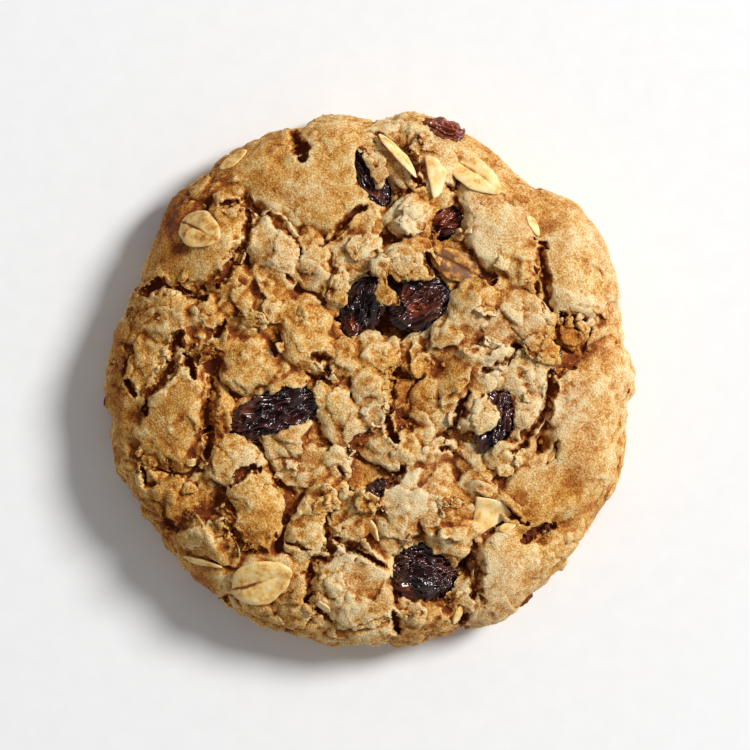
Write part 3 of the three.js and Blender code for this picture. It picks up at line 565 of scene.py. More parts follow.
# Where the dough stayed whole: x, y and how far round. The sheets and what lies under the flakes don't
# break up again, and the tops of the plates in the second list are smooth as well
WHOLE_SHEETS = [
    (5.4, 16, 3.8), (2.2, 12.6, 2.4), (0.7, 30.4, 2.6), (16.2, -4.8, 2.6), (-1.3, 18.6, 2.2),
    (15.1, 28.6, 4), (-15, -28.3, 5), (-23.8, 20.9, 4), (17, -18.7, 3.4), (12.8, 15.8, 3.6),
    (9.2, 28.2, 2.6), (2.6, -26, 2.4), (3.6, 31, 3), (-23.6, -25.6, 3),
]
SMOOTH_PLACES = [
    (-7, 28, 7), (-14.5, 30, 4.5), (31, -8, 6.5), (28, -16, 5), (28.5, 19, 6.5), (23, 24, 4), (20, -27, 5),
    (-30, 19, 5.5), (13, 31, 4), (33, 2, 5), (-26.5, 19, 4), (-34, -6, 4.5), (19, 21, 3.4), (-28, -3, 2.8),
    (24, -15, 3.5), (-12, 31.5, 4), (12, 2, 2.4), (-15.5, -17.5, 2.6), (-24, -27, 3.5),
]

# Places where the dough is crumbly right through: x, y and how far round, then (size, height) in mm
CRUMBLY_PLACES = [
    (5.9, 22.6, 2.6), (-6, 12.6, 2.4), (-2.5, -18, 3.6), (-20, -21, 4), (22.6, 0, 2.6), (10, -20.4, 3),
    (-12, 9, 3), (4, 2.6, 3), (-24, 7, 3), (-5.6, -31, 3), (9, -34, 3), (13.4, 4, 2.6), (-13, -12, 3),
    (-33, -12, 3),
]
CRUMBLY_RELIEF = [(1.5, 0.3), (0.75, 0.22), (0.4, 0.1)]

# Chips of dough that broke off the plates' edges and baked on
CHIPS = 95
CHIP_CORNERS = 6
CHIP_SIZES = (1.2, 3.2)
CHIP_HEIGHTS = (2.2, 3.3)  # above the plain dough
CHIP_THICKNESSES = (0.4, 0.8)
CHIP_SLOPE = 0.4
CHIP_CURL = 0.05
FARTHEST_CHIP = 34.5  # from the middle of the cookie
CLEAR_OF_CHIPS = SMOOTH_PLACES + WHOLE_SHEETS + CRUMBLY_PLACES[:1]  # the raisins are clear of them too

loose_sheets = [sheet(*values, order=order) for order, values in enumerate(SHEETS)]
while len(loose_sheets) < len(SHEETS) + CHIPS:
    reach, around = FARTHEST_CHIP * math.sqrt(draw.uniform()), draw.uniform(0, 2 * np.pi)
    size = draw.uniform(*CHIP_SIZES)
    x, y = reach * math.cos(around), reach * math.sin(around)
    turns = np.arange(CHIP_CORNERS) + draw.uniform(0, 0.8, CHIP_CORNERS)
    turns = 2 * np.pi * turns / CHIP_CORNERS
    reach = size * draw.uniform(0.25, 0.55, CHIP_CORNERS)
    corners = (reach * [np.cos(turns), np.sin(turns)]).T + [x, y]
    height, thickness = draw.uniform(*CHIP_HEIGHTS), draw.uniform(*CHIP_THICKNESSES)
    slopes = draw.normal(0, CHIP_SLOPE, 2)
    on_raisin = any(math.hypot(x - u, y - v) < 0.5 * length + 0.5 for _, u, v, length, *_ in RAISINS)
    on_whole_plate = any(math.hypot(x - u, y - v) < 0.98 * r for u, v, r in CLEAR_OF_CHIPS)
    if not on_raisin and not on_whole_plate:
        chip = [height, thickness, *slopes, CHIP_CURL, *corners]
        loose_sheets.append(sheet(*chip, order=len(loose_sheets), level=4))

# The sockets of the raisins, and the openings in the dough over those that aren't buried
SOCKET_GAP = 0.3  # between a raisin and its socket
BURIED_SIZE = 4.3  # raisins no wider than this have no opening
OPENING_INSET = 0.35  # how far the dough laps over the edge of a raisin
OPENING_TEARS = [(2.2, 0.6), (0.9, 0.35)]

sockets, openings = [], []
for order, (_, x, y, length, width, thickness, turn, height) in enumerate(RAISINS):
    axes, middle = place_on_dome(x, y, turn, height)
    form = raisin_form(length, width, thickness, SOCKET_GAP, order, 4)
    sockets.append(placed(form, axes, middle))
    if min(length, width) > BURIED_SIZE:
        points, faces = raisin_form(length, width, thickness, -OPENING_INSET, order, 5)
        points = (points + np.maximum(points * [0, 0, 3], 0)) @ axes.T + middle
        outward = (points - middle) * [1, 1, 0]
        outward /= np.linalg.norm(outward, axis=1)[:, None] + 0.5
        openings.append((points + outward * rugged(points, OPENING_TEARS, 370 + order)[:, None], faces))

# The plain dough less its valleys, and then all that is joined with it
VOXEL = 0.2  # the size to which the joined dough is resolved
CRUST_TRIANGLES = 196_000
FINE_LUMP = 8.0  # lumps longer than this are divided once more

core = as_object("core", *dough_core())
for order, (x, y, length, width, turn, depth) in enumerate(VALLEYS):
    axes, middle = place_on_dome(x, y, turn, 0)
    form = pebble(length, width, depth, 0, FLANK_POWER, order + 0.5, 4)
    bowl = as_object("bowl", *placed(form, axes, middle))
    apply_modifier(core, "BOOLEAN", operation="DIFFERENCE", object=bowl, solver="MANIFOLD")
    bpy.data.objects.remove(bowl)
apply_modifier(core, "TRIANGULATE")
core_faces = np.array([p.vertices for p in core.data.polygons])
parts = [(read_points(core.data), core_faces)]
bpy.data.objects.remove(core)

for order, (x, y, length, width, turn, rise, *taper) in enumerate(LUMPS):
    axes, middle = place_on_dome(x, y, turn, -LUMP_SINK)
    half = np.array([length * LUMP_SPREAD / 2, width * LUMP_SPREAD / 2, rise + LUMP_SINK])
    level = 6 if length > FINE_LUMP else 5
    form = plate(2 * half[0], 2 * half[1], half[2], taper[0] if taper else 0, order, level)
    points, faces = placed(form, tipped(axes), middle)
    parts.append((torn(wavered(points), middle, order), faces))
    parts += [rubble(axes, middle, half) for _ in range(RUBBLE_ON_A_LUMP)]
    parts += [coated_oat(axes, middle, half) for _ in range(OATS_ON_A_LUMP)]
for row, (count, *_) in enumerate(FLANK_ROWS):
    parts += [flank_lump(row, k) for k in range(count)]

crust = as_object("dough_crust", *joined(parts))
apply_modifier(crust, "REMESH", mode="VOXEL", voxel_size=VOXEL)

# Cuts the openings and all that is in a block below the table, adds the sheets, and cuts the sockets
table_block = np.array([[x, y, z] for x in (-60, 60) for y in (-60, 60) for z in (-9, 0)], float)
block_faces = np.array([
    [0, 1, 3], [0, 3, 2], [4, 6, 7], [4, 7, 5], [0, 4, 5], [0, 5, 1],
    [2, 3, 7], [2, 7, 6], [0, 2, 6], [0, 6, 4], [1, 5, 7], [1, 7, 3],
])
steps = [("DIFFERENCE", openings[::2] + [(table_block, block_faces)]), ("DIFFERENCE", openings[1::2])]
steps += [("UNION", loose_sheets[k::3]) for k in range(3)]  # three goes, as some of them overlap
for operation, pieces in steps + [("DIFFERENCE", sockets)]:
    tool = as_object("tool", *joined(pieces))
    apply_modifier(crust, "BOOLEAN", operation=operation, object=tool, solver="MANIFOLD")
    bpy.data.objects.remove(tool)


def read_edges(mesh):
    """The first and the second end of every edge."""
    ends = np.zeros(len(mesh.edges) * 2, np.int32)
    mesh.edges.foreach_get("vertices", ends)
    return ends.reshape(-1, 2).T


def main_body(mesh):
    """Marks the points of the largest connected part of a mesh."""
    a, b = read_edges(mesh)
    label = np.arange(len(mesh.vertices))
    while True:
        least = np.minimum(label[a], label[b])
        fresh = label.copy()
        np.minimum.at(fresh, a, least)
        np.minimum.at(fresh, b, least)
        fresh = fresh[fresh]
        if (fresh == label).all():
            return label == np.bincount(label).argmax()
        label = fresh


# The rim and the crown are worn smooth: what stands further out than this, in mm, is pressed back
RIM_ROOM = 0.5
CROWN = 16.3
CROWN_ROOM = 0.6
FLANK_ROUNDING = 9.0  # how much further in the rim is pressed at the height of the crown


def pressed(value, limit, room):
    """The value, with what is over the limit squeezed into that much room."""
    return np.where(value > limit, limit + room * (1 - np.exp(-np.maximum(value - limit, 0) / room)), value)


def held_in(points):
    """The dough pressed in where it stands out past the rim or above the crown."""
    out = np.hypot(points[:, 0], points[:, 1])
    rim = rim_radius(np.arctan2(points[:, 1], points[:, 0])) - 0.8 * RIM_ROOM
    above = ((points[:, 2] - BELLY) / (CROWN - BELLY)).clip(0)
    below = ((BELLY - points[:, 2]) / BELLY).clip(0, 1)
    rim -= FLANK_ROUNDING * above**2 + TUCK * below**2
    points[:, :2] *= (pressed(out, rim, RIM_ROOM) / np.maximum(out, 1e-6))[:, None]
    points[:, 2] = pressed(points[:, 2], CROWN, CROWN_ROOM)
    return points


# Cracks: width where it meets the tops of the plates, height of its bottom above the plain dough, and path
CRACKS = [
    [1.2, 0.6, (-20.7, 25.3), (-17, 25.5), (-16.8, 23.5), (-17.2, 19.5), (-18.5, 17.8), (-20.2, 15),
     (-21.5, 13.2)],
    [1.6, 0.2, (-33.4, 12.2), (-29, 13.4), (-26.2, 12.4)], [1.8, 0, (-26.6, 13), (-23.6, 12)],
    [0.8, 1.0, (-16.5, 22.7), (-15.2, 23), (-11.7, 21.8), (-10.1, 19.6), (-10, 17)],
    [0.7, 1.4, (-12.2, 15), (-10.2, 12.7), (-6.8, 11.2)],
    [1.1, 0.3, (-6.4, 18.6), (-4.8, 20), (-3.6, 21.6), (-2.8, 23.2), (-1, 24.2)],
    [1.0, 1.3, (-6, 19), (-5.2, 17), (-5.4, 14.2)], [1.8, -0.2, (-11.6, 37), (-10.6, 34.4), (-9.7, 31.4)],
    [1.2, 0.6, (0, 35.7), (3.4, 33.4), (6.5, 31), (7, 27)], [1.8, -0.2, (10.9, 27.4), (11.8, 26.2)],
    [1.5, 0, (8.2, 17.2), (9.2, 15.6), (10, 14)], [1.2, 0.4, (16.2, 14.9), (17.7, 13.4)],
    [1.2, 0.6, (25.2, 18.1), (23.2, 19.6)], [1.8, 0, (24.2, 18), (24.6, 14), (25.2, 9.5)],
    [1.6, 0, (26.6, 9.6), (27.3, 8.4)], [1.1, 0.3, (31.2, 6.8), (28.5, 2), (26.8, 0.8)],
    [0.9, 1, (20, 3.5), (15.5, 1)], [1.3, 0, (26.3, 0.8), (25, -2.8), (24, -6), (22, -8.5), (20.6, -9.8)],
    [1.3, 0.5, (-26, 6), (-28, 2.5), (-30.5, -1.5), (-32.2, -4.8)],
    [2.2, 0, (-21.8, 0.6), (-22.6, -5), (-23.4, -11)], [1.1, 0.3, (-21.7, 6.2), (-19.8, 8.7)],
    [0.9, 0.4, (-25.9, 3.4), (-24.7, 0.6)], [1.2, 0.2, (-26.6, 5), (-26, 4)],
    [0.8, 0.6, (-34.2, -0.4), (-33, -2.6)], [1.2, 0.3, (-7.6, 2.8), (-6.2, 2.6), (-5.9, 0.8)],
    [0.9, 0.2, (3.6, 3.6), (5.2, 4.6)], [1.1, -0.3, (2.7, 1.4), (2.9, -2), (2.6, -5), (4.2, -8.2)],
    [1.2, 0.2, (14, -2), (12.5, -6), (10.7, -9)], [1.2, 0.2, (10.4, -10), (12.4, -10.7)],
    [1.2, 0, (5.4, -13), (2.6, -14.4), (1.2, -15)], [1.2, 0, (-4.8, -22.8), (-1.4, -24.2), (1.7, -26.3)],
    [1.4, 0.2, (-8.3, -25.6), (-8.7, -31.6)], [1.5, 0, (3.6, -33.6), (4.3, -35.6)],
    [1.4, 0, (12.8, -32.6), (13.4, -34.6)], [1.1, 0.4, (-32.1, -13), (-30, -15)],
    [1.2, 0.2, (-28.8, -12.6), (-28.2, -13.5)], [1.5, 0, (26.2, -20.4), (21.6, -23)],
    [1.2, 0.2, (18.2, -17.2), (21.8, -20.4)], [1.4, 0, (26.6, -9), (24.8, -11.9)],
    [1.6, 0, (15, -23.6), (15.1, -31.4)], [1.0, 0.8, (-4, -12.4), (-1.4, -13.2)],
    [0.8, 1.2, (-13.4, -22), (-8.6, -24.4)], [0.8, 1.2, (-19.4, -14.8), (-15.6, -12.4)],
]
CRACK_TOP = 3.0  # usual height of the plates above the plain dough
CRACK_WIDENING = 1.7  # on the widths of the table
CRACK_SQUARENESS = 1.7  # 1 for a straight-sided groove, more for one with a flat bottom
CRACK_LIFT = 0.8  # on the heights of the table
LEFT_UNDER = 1.5  # mm of dough left under the deepest crack
WANDER = [(3.2, 0.8), (1.2, 0.3)]  # how the paths stray sideways, as (size, distance) in mm
RAGGED = [(1.2, 0.3), (0.5, 0.2)]  # how uneven their sides are


def cracked(points):
    """Lowers what stands in a crack to the crack's sides."""
    plain = dome_height(points)
    stray = rugged(points, RAGGED, 340)
    places = points[:, :2] + astray(points * [1, 1, 0], WANDER, (350, 360))
    for width, bottom, *path in CRACKS:
        path = np.array(path, float)
        steps = np.diff(path, axis=0)
        lengths = np.linalg.norm(steps, axis=1)
        done, total = 0, lengths.sum()
        low, high = path.min(axis=0) - 3, path.max(axis=0) + 3
        near = np.where(((places > low) & (places < high)).all(axis=1))[0]
        limit = np.full(len(near), 99.0)
        for start, step, length in zip(path, steps, lengths):
            offset = places[near] - start
            share = np.clip(offset @ step / length**2, 0, 1)
            away = np.linalg.norm(offset - share[:, None] * step, axis=1) + stray[near]
            through = (done + share * length) / total
            narrowing = 0.35 + 0.65 * np.sqrt(np.sin(np.pi * np.clip(through, 0.02, 0.98)))
            open_by = CRACK_WIDENING * width * narrowing
            rise = (CRACK_TOP - bottom) * (np.maximum(away, 0) / (0.5 * open_by)) ** CRACK_SQUARENESS
            limit = np.minimum(limit, plain[near] + bottom + CRACK_LIFT + rise)
            done += length
        points[near, 2] = np.minimum(points[near, 2], np.maximum(limit, LEFT_UNDER))
    return points


# The crumb: slow swells, and grains with creases between them, each given as (size, height) in mm
SWELLS = [(5.0, 0.22), (2.3, 0.12)]
CRUMB_GRAINS = [(1.2, 0.05), (0.65, 0.06)]
RIM_CRUMB = [(2.6, 0.45), (1.2, 0.32), (0.55, 0.16)]  # the rim is rougher than the top
RIM_DEPTH = 8.0  # mm in from the outline, where that roughness begins
RIM_FADE = 4.0  # mm, over which it grows
FOOT_HEIGHT = 0.6  # mm, up to which the crumb fades into the flat foot
FOOT_DENTS = 0.22  # mm, the depth of the dents in the foot

# Shards: the plates have broken again, each into a few pieces of this size that lean and stand a little
# higher or lower than their neighbours, with a crease where they meet. Sizes in mm, lean as a slope.
SHARD_SIZES = [(4.8, 0.13, 0.08), (2.0, 0.05, 0.05)]  # size, how far one stands above another, lean
CREASE_WIDTH = 0.3
CREASE_DEPTH = 0.12
SHARD_WANDER = [(2.6, 0.5), (0.8, 0.28)]


def shards(points, size, step, lean, seed):
    """How far each place is raised or lowered by the shard that it is on."""
    places = points[:, :2] + astray(points, SHARD_WANDER, (seed + 10, seed + 20))
    cell = np.floor(places / size)
    best = np.full((2, len(points)), np.inf)
    height = np.zeros(len(points))
    for step_x, step_y in np.ndindex(3, 3):
        here = np.column_stack([cell + [step_x - 1, step_y - 1], np.zeros(len(cell))]).astype(np.int64)
        u, v, rise, lean_x, lean_y = (scatter(here, seed + k) for k in range(5))
        offset = places - (here[:, :2] + np.column_stack([u, v])) * size
        away = np.hypot(*offset.T)
        first = away < best[0]
        best[1] = np.where(first, best[0], np.minimum(best[1], away))
        best[0] = np.where(first, away, best[0])
        tilt = lean * ((2 * lean_x - 1) * offset[:, 0] + (2 * lean_y - 1) * offset[:, 1])
        height = np.where(first, step * (2 * rise - 1) + tilt, height)
    open_here = np.clip(0.4 + 1.2 * swell(points, 3.0, seed + 7), 0, 1)
    crease = np.exp(-(((best[1] - best[0]) / CREASE_WIDTH) ** 2))
    return height - CREASE_DEPTH * step / SHARD_SIZES[0][1] * open_here * crease


CRISPNESS = 0.8  # how much edges and creases are sharpened against the skin close round them
CRISP_ROUNDS = 4  # how wide that skin is, in rounds of averaging
CRISPENING = 0.08  # mm, the most that this moves anything

SMOOTHING = 40  # rounds of averaging on the smooth plates
SMOOTH_SHARE = 0.85
EDGE_SPARED = 0.7  # how much less their edges tear where the dough stayed whole
SHARDS_SPARED = 0.85  # how much less it has broken into shards there
BROKEN_AT = 0.1  # mm, how sharp an edge counts as broken
EDGE_TEARS = [(0.9, 0.2), (0.42, 0.2)]  # broken edges are rough at these sizes, as (size, height)


def falloff(points, x, y, reach):
    """From 1 at a place to 0 far from it, seen from above."""
    return np.exp(-((points[:, 0] - x) ** 2 + (points[:, 1] - y) ** 2) / reach**2)


def share_of(points, places):
    """How much each point belongs to some round places, from 0 to 1."""
    away = [((points[:, :2] - [x, y]) ** 2).sum(axis=1) / r**2 for x, y, r in places]
    return np.clip(sum(np.exp(-(one**2)) for one in away), 0, 1)


def averaged(points, ends, rounds):
    """Each point moved to the middle of its neighbours, that many times over."""
    a, b = ends
    near = np.bincount(a, minlength=len(points)) + np.bincount(b, minlength=len(points))
    for _ in range(rounds):
        points = np.column_stack([
            (np.bincount(a, p[b], len(p)) + np.bincount(b, p[a], len(p))) / near for p in points.T
        ])
    return points


# What broke free of the dough goes. The rest is pressed in at the rim, worn smooth, cracked and crisped,
# and then its crumb is raised along the normals.
scrap = bmesh.new()
scrap.from_mesh(crust.data)
keep = main_body(crust.data)
bmesh.ops.delete(scrap, geom=[v for v in scrap.verts if not keep[v.index]], context="VERTS")
scrap.to_mesh(crust.data)
scrap.free()

points = held_in(read_points(crust.data))
ends = read_edges(crust.data)
smooth, whole, crumbly = (
    share_of(points, places) * np.clip(points[:, 2] / 3 - 0.4, 0, 1)
    for places in (SMOOTH_PLACES, SMOOTH_PLACES + WHOLE_SHEETS, CRUMBLY_PLACES)
)
points += (SMOOTH_SHARE * smooth)[:, None] * (averaged(points, ends, SMOOTHING) - points)
points = cracked(points)
edge = CRISPNESS * (points - averaged(points, ends, CRISP_ROUNDS))
broken = np.maximum(np.linalg.norm(edge, axis=1), 1e-6)
points += edge * np.minimum(1, CRISPENING / broken)[:, None]
broken = np.clip(averaged(broken[:, None], ends, 3)[:, 0] / BROKEN_AT, 0, 1)
crust.data.vertices.foreach_set("co", points.astype(np.float32).ravel())
crust.data.update()
normals = read_points(crust.data, "vertex_normals", "vector")
foot = np.clip(points[:, 2] / FOOT_HEIGHT, 0, 1)
grain = rugged(points, SWELLS, 301) + grainy(points, CRUMB_GRAINS, 310)
grain += broken * (1 - EDGE_SPARED * whole) * rugged(points, EDGE_TEARS, 330)
grain += crumbly * rugged(points, CRUMBLY_RELIEF, 380)
to_rim = rim_radius(np.arctan2(points[:, 1], points[:, 0])) - np.hypot(points[:, 0], points[:, 1])
at_rim = np.clip((RIM_DEPTH - to_rim) / RIM_FADE, 0, 1) * np.clip(1.2 - 1.3 * normals[:, 2], 0, 1)
at_rim *= np.clip(0.7 + swell(points, 9.0, 390), 0.3, 1.2)
grain += at_rim * rugged(points, RIM_CRUMB, 391)
on_top = np.clip(2 * normals[:, 2] - 0.2, 0, 1)
for k, (size, step, lean) in enumerate(SHARD_SIZES):
    grain += shards(points, size, step, lean, 900 + 40 * k) * on_top * (1 - SHARDS_SPARED * whole)
points += normals * (grain * foot)[:, None]
dents = swell(points, 2.2, 320) + 0.5 * swell(points, 0.9, 321)
points[:, 2] += (1 - foot) * FOOT_DENTS * np.clip(dents - 0.35, 0, 1)
points[:, 2] = np.maximum(points[:, 2], 0)
crust.data.vertices.foreach_set("co", points.astype(np.float32).ravel())
apply_modifier(crust, "TRIANGULATE")
apply_modifier(crust, "DECIMATE", ratio=min(1, CRUST_TRIANGLES / len(crust.data.polygons)))


def set_layer(mesh, name, kind, values):
    """Keeps a value for each point, for the material to read."""
    layer = mesh.attributes.new(name, kind, "POINT")
    layer.data.foreach_set("value" if kind == "FLOAT" else "vector", np.asarray(values, np.float32).ravel())


# How deep each place lies: below the skin close round it, below the lumps round it, and below the crown,
# which are so many rounds of averaging apart. Positive values are hollows, in mm, and what stands higher
# than the values of RAISED counts as those. The dough's colour reads them as painted shade, darker in the
# hollows and partly browning there, and as a painted highlight, paler on the raised edges.
DEPTH_ROUNDS = (5, 30, 160)
RAISED = (0.14, 0.17, 0.4)
points = read_points(crust.data)
normals = read_points(crust.data, "vertex_normals", "vector")
ends = read_edges(crust.data)
depths, around = [], points
for rounds, raised in zip(DEPTH_ROUNDS, RAISED):
    around = averaged(around, ends, rounds)
    depths.append(np.maximum(((around - points) * normals).sum(axis=1), -raised))
set_layer(crust.data, "hollow", "FLOAT_VECTOR", np.column_stack(depths))

# Which lump each place belongs to, as a shade from -1 to 1
shade = np.zeros(len(points))
nearest = np.full(len(points), np.inf)
lump_shades = np.random.default_rng(5).uniform(-1, 1, len(LUMPS))
for order, (x, y, length, width, turn, rise, *_) in enumerate(LUMPS):
    axes, middle = place_on_dome(x, y, turn, -LUMP_SINK)
    local = np.abs((points - middle) @ axes) / [length / 2, width / 2, rise + LUMP_SINK]
    reach = (local**TOP_POWER).sum(axis=1)
    shade = np.where(reach < nearest, lump_shades[order], shade)
    nearest = np.minimum(nearest, reach)
shade = averaged(shade[:, None], ends, 4)[:, 0]

# Places painted darker, or paler where the last values are below 0: x, y, how far round and how much. Some
# are browning; those round the rim on the left and the front, turned from the light, and those in pits and
# valleys are painted shade.
BROWNING_AND_SHADE = [
    (0, -6, 15, -0.5), (-3, -5, 5, -1.1), (10, -14, 5, -1.8), (20, 8, 4, -0.6), (-24, 9, 4, -0.6),
    (2, -30, 6, 0.3), (-31, 17, 5, 2.2), (-27, 23.4, 4.4, 5), (-34.6, -3, 3.4, 1.8), (-35.6, 5, 3, 2),
    (-21.4, 31.4, 3, 1.6), (-33, -12, 3.4, 1.4), (-29.4, -21, 3, 1.2), (-17, 3, 4.4, 1.7),
    (-9, 26, 4.5, -0.8), (28, 20, 5, 0.8), (-14, 32, 3, 2), (-22.6, -5, 1.8, 2), (-21.6, -8, 3.2, 3.2),
    (7, -4, 4.6, 1.6), (-3.2, 26.4, 2.2, 1.6), (-8.6, 15.4, 3.6, -2), (-3.4, 14.6, 2.6, -1.5),
    (3.2, 27, 2.6, -2), (9, 33, 3.6, -1.5), (17, 3, 4.4, -2.4), (6, -16, 3.6, -2.1), (-8.4, -11.4, 4.6, -2),
    (-3.2, -23.4, 4, -1.1), (-17.4, 17, 4, -0.8), (15, 9, 3, -0.8), (16.4, 14, 2.6, 1.6),
    (9.6, 20.6, 2.6, 3.4), (27, 6, 3.6, 3.6), (-32, -2.6, 3, 0.8), (22.4, -21, 3, 3.4), (28, -16, 3.4, 1.2),
    (30, -8, 5, -0.8), (-36.8, -8, 3, 1.6), (-34, -17, 3, 2.2), (-29.8, -24, 3, 2.8), (-24.2, -30, 3, 3.2),
    (-18, -34.2, 3, 2.8), (-11, -36.8, 3, 2.2), (-4, -38, 3, 1.8), (4, -38.4, 3, 1.2),
    (-2.4, -14.6, 2.6, 1.4), (-27.6, 15.4, 2.8, 1.5), (-27, -14.4, 2.6, 1.4), (4.2, 1.2, 3.4, 1.8),
    (-9.6, -32.6, 3, 1.6), (-28, -4, 4, -1), (-24, 9, 3.4, -1.6), (14, -27.6, 2, 1.2),
    (5.4, 18.6, 1.2, 1.5), (3.2, 14.6, 0.9, 2), (2, 12, 1.4, 1.4), (0.9, 30.4, 2.4, -0.8),
    (16.2, -4.8, 2, -1), (-15.8, 28.6, 2.4, 1.6), (-32.5, 8.6, 2.6, 1.4), (-29.5, 9.5, 2, 1),
    (-12.9, 20.2, 2.2, -1.2), (-8.6, 13, 2.5, -1), (-1.3, 18.6, 2.2, -1.6), (0, 22.5, 2, -1),
    (5.9, 22.4, 2.1, -4), (5.8, 16, 2.6, -2.4), (7, 19.2, 1.2, 1.2), (3, 21.5, 1.2, 1.6),
    (10.5, 6.8, 2.4, 1.4), (5.5, 0, 3.4, 1.6), (22.5, -0.5, 2.5, -2), (27.4, -2.6, 4, -2.6),
    (14.4, -9.8, 1.6, -1.4), (-22, 9, 2.4, 1), (3.5, -17, 3, -1), (-19.6, -11.6, 3, -1),
    (-1.8, -29.4, 4, -0.6), (18.9, -27.4, 4, -0.5), (-25, -29, 3, 1), (9, -34, 4, -0.7),
    (-6, -11, 2.4, 0.5), (-22.4, -17.4, 2, 1.4), (12.8, -2.4, 1.6, 1.2), (24, 13, 1.6, 1.4),
    (-10, 10.8, 1.8, 1.2),
]
for x, y, reach, amount in BROWNING_AND_SHADE:
    shade += amount * falloff(points, x, y, reach)
set_layer(crust.data, "lump_shade", "FLOAT", shade)

crust_faces = np.zeros(len(crust.data.polygons) * 3, np.int32)
crust.data.polygons.foreach_get("vertices", crust_faces)
crust_tree = BVHTree.FromPolygons(points.tolist(), crust_faces.reshape(-1, 3).tolist())


def to_metres(made):
    """From the tables' millimetres to the model's metres."""
    moved = (read_points(made.data) + CENTRING) / 1000
    made.data.vertices.foreach_set("co", moved.astype(np.float32).ravel())
    made.data.update()
    made.data.shade_smooth()


def colour(code):
    """A linear colour from an sRGB hex code."""
    parts = [int(code[k : k + 2], 16) / 255 for k in (1, 3, 5)]
    return (*(c / 12.92 if c <= 0.04045 else ((c + 0.055) / 1.055) ** 2.4 for c in parts), 1)


def add(tree, kind, inputs=(), stops=(), out=0, **settings):
    """Adds a node with its settings, inputs (a value or another node's output) and colour stops."""
    made = tree.nodes.new(kind)
    for key, value in settings.items():
        setattr(made, key, value)
    for key, value in dict(inputs).items():
        if isinstance(value, bpy.types.NodeSocket):
            tree.links.new(value, made.inputs[key])
        else:
            made.inputs[key].default_value = value
    for k, (at, value) in enumerate(stops):
        stop = made.color_ramp.elements[k] if k < 2 else made.color_ramp.elements.new(at)
        stop.position, stop.color = at, value
    return made.outputs[out] if made.outputs else None


def new_material(name):
    """An empty material, its node tree, and the place on the piece in millimetres."""
    made = bpy.data.materials.new(name)
    made.use_nodes = True
    made.node_tree.nodes.clear()
    tree = made.node_tree
    metres = add(tree, "ShaderNodeTexCoord", out=3)
    return made, tree, add(tree, "ShaderNodeVectorMath", {0: metres, "Scale": 1000.0}, operation="SCALE")


# Baked oat dough: flour, sugar and oats, browned by the oven. Dry and sandy, buff to golden on the lumps
# and darker brown in the cracks, partly browning and partly painted shade, with specks of cinnamon and
# brown sugar.
dough_look, tree, place = new_material("baked_oat_dough")
# The crust's depths: painted shade in its hollows and a painted highlight on its raised edges
hollow = add(tree, "ShaderNodeAttribute", attribute_name="hollow", out=1)
depth = add(tree, "ShaderNodeSeparateXYZ", {0: hollow}).node.outputs
shade_of_lump = add(tree, "ShaderNodeAttribute", attribute_name="lump_shade", out=2)
across = add(tree, "ShaderNodeSeparateXYZ", {0: place})

clouds = []  # noise about 0, in patches of so many millimetres, each given as (size, detail)
for size, detail in [(6.5, 1), (2.0, 1), (0.25, 2), (5.5, 2)]:
    scale = {"Vector": place, "Scale": 1 / size, "Detail": detail, "Roughness": 0.6}
    noise = add(tree, "ShaderNodeTexNoise", scale)
    clouds.append(add(tree, "ShaderNodeMath", {0: noise, 1: 0.5}, operation="SUBTRACT"))

# How dark each place is painted, from 0 to 1: darker in the hollows, partly browning and partly painted
# shade; paler on raised edges, a painted highlight; a little darker towards the left, away from the light,
# as painted shade; by the shade given to its lump and its place; in broad clouds; and from grain to grain
brown_and_shade = 0.46
for value, weight in [
    (across, -0.0008), (shade_of_lump, 0.08), (depth[0], 1.5), (depth[1], 0.48), (depth[2], 0.05),
    (clouds[0], 0.6), (clouds[1], 0.36), (clouds[2], 1.25),
]:
    brown_and_shade = add(tree, "ShaderNodeMath", {0: value, 1: weight, 2: brown_and_shade}, operation="MULTIPLY_ADD")

# From buff, where flour shows, to gold, where butter and sugar have browned
golden = 0.84
for value, weight in [(across, -0.01), (shade_of_lump, 0.25), (clouds[3], 1.9)]:
    golden = add(tree, "ShaderNodeMath", {0: value, 1: weight, 2: golden}, operation="MULTIPLY_ADD")
buff = add(tree, "ShaderNodeValToRGB", {0: brown_and_shade}, stops=[
    (0.0, colour("#ead3a6")), (0.22, colour("#dab37c")), (0.42, colour("#c48c4e")), (0.6, colour("#a86a2e")),
    (0.8, colour("#8c4a1a")), (1.0, colour("#6b300c")),
])
gold = add(tree, "ShaderNodeValToRGB", {0: brown_and_shade}, stops=[
    (0.0, colour("#efd8a4")), (0.22, colour("#deb066")), (0.42, colour("#c78936")), (0.6, colour("#ab661f")),
    (0.8, colour("#8f4713")), (1.0, colour("#6c2e09")),
])
body = add(tree, "ShaderNodeMixRGB", {0: golden, 1: buff, 2: gold}, use_clamp=True)

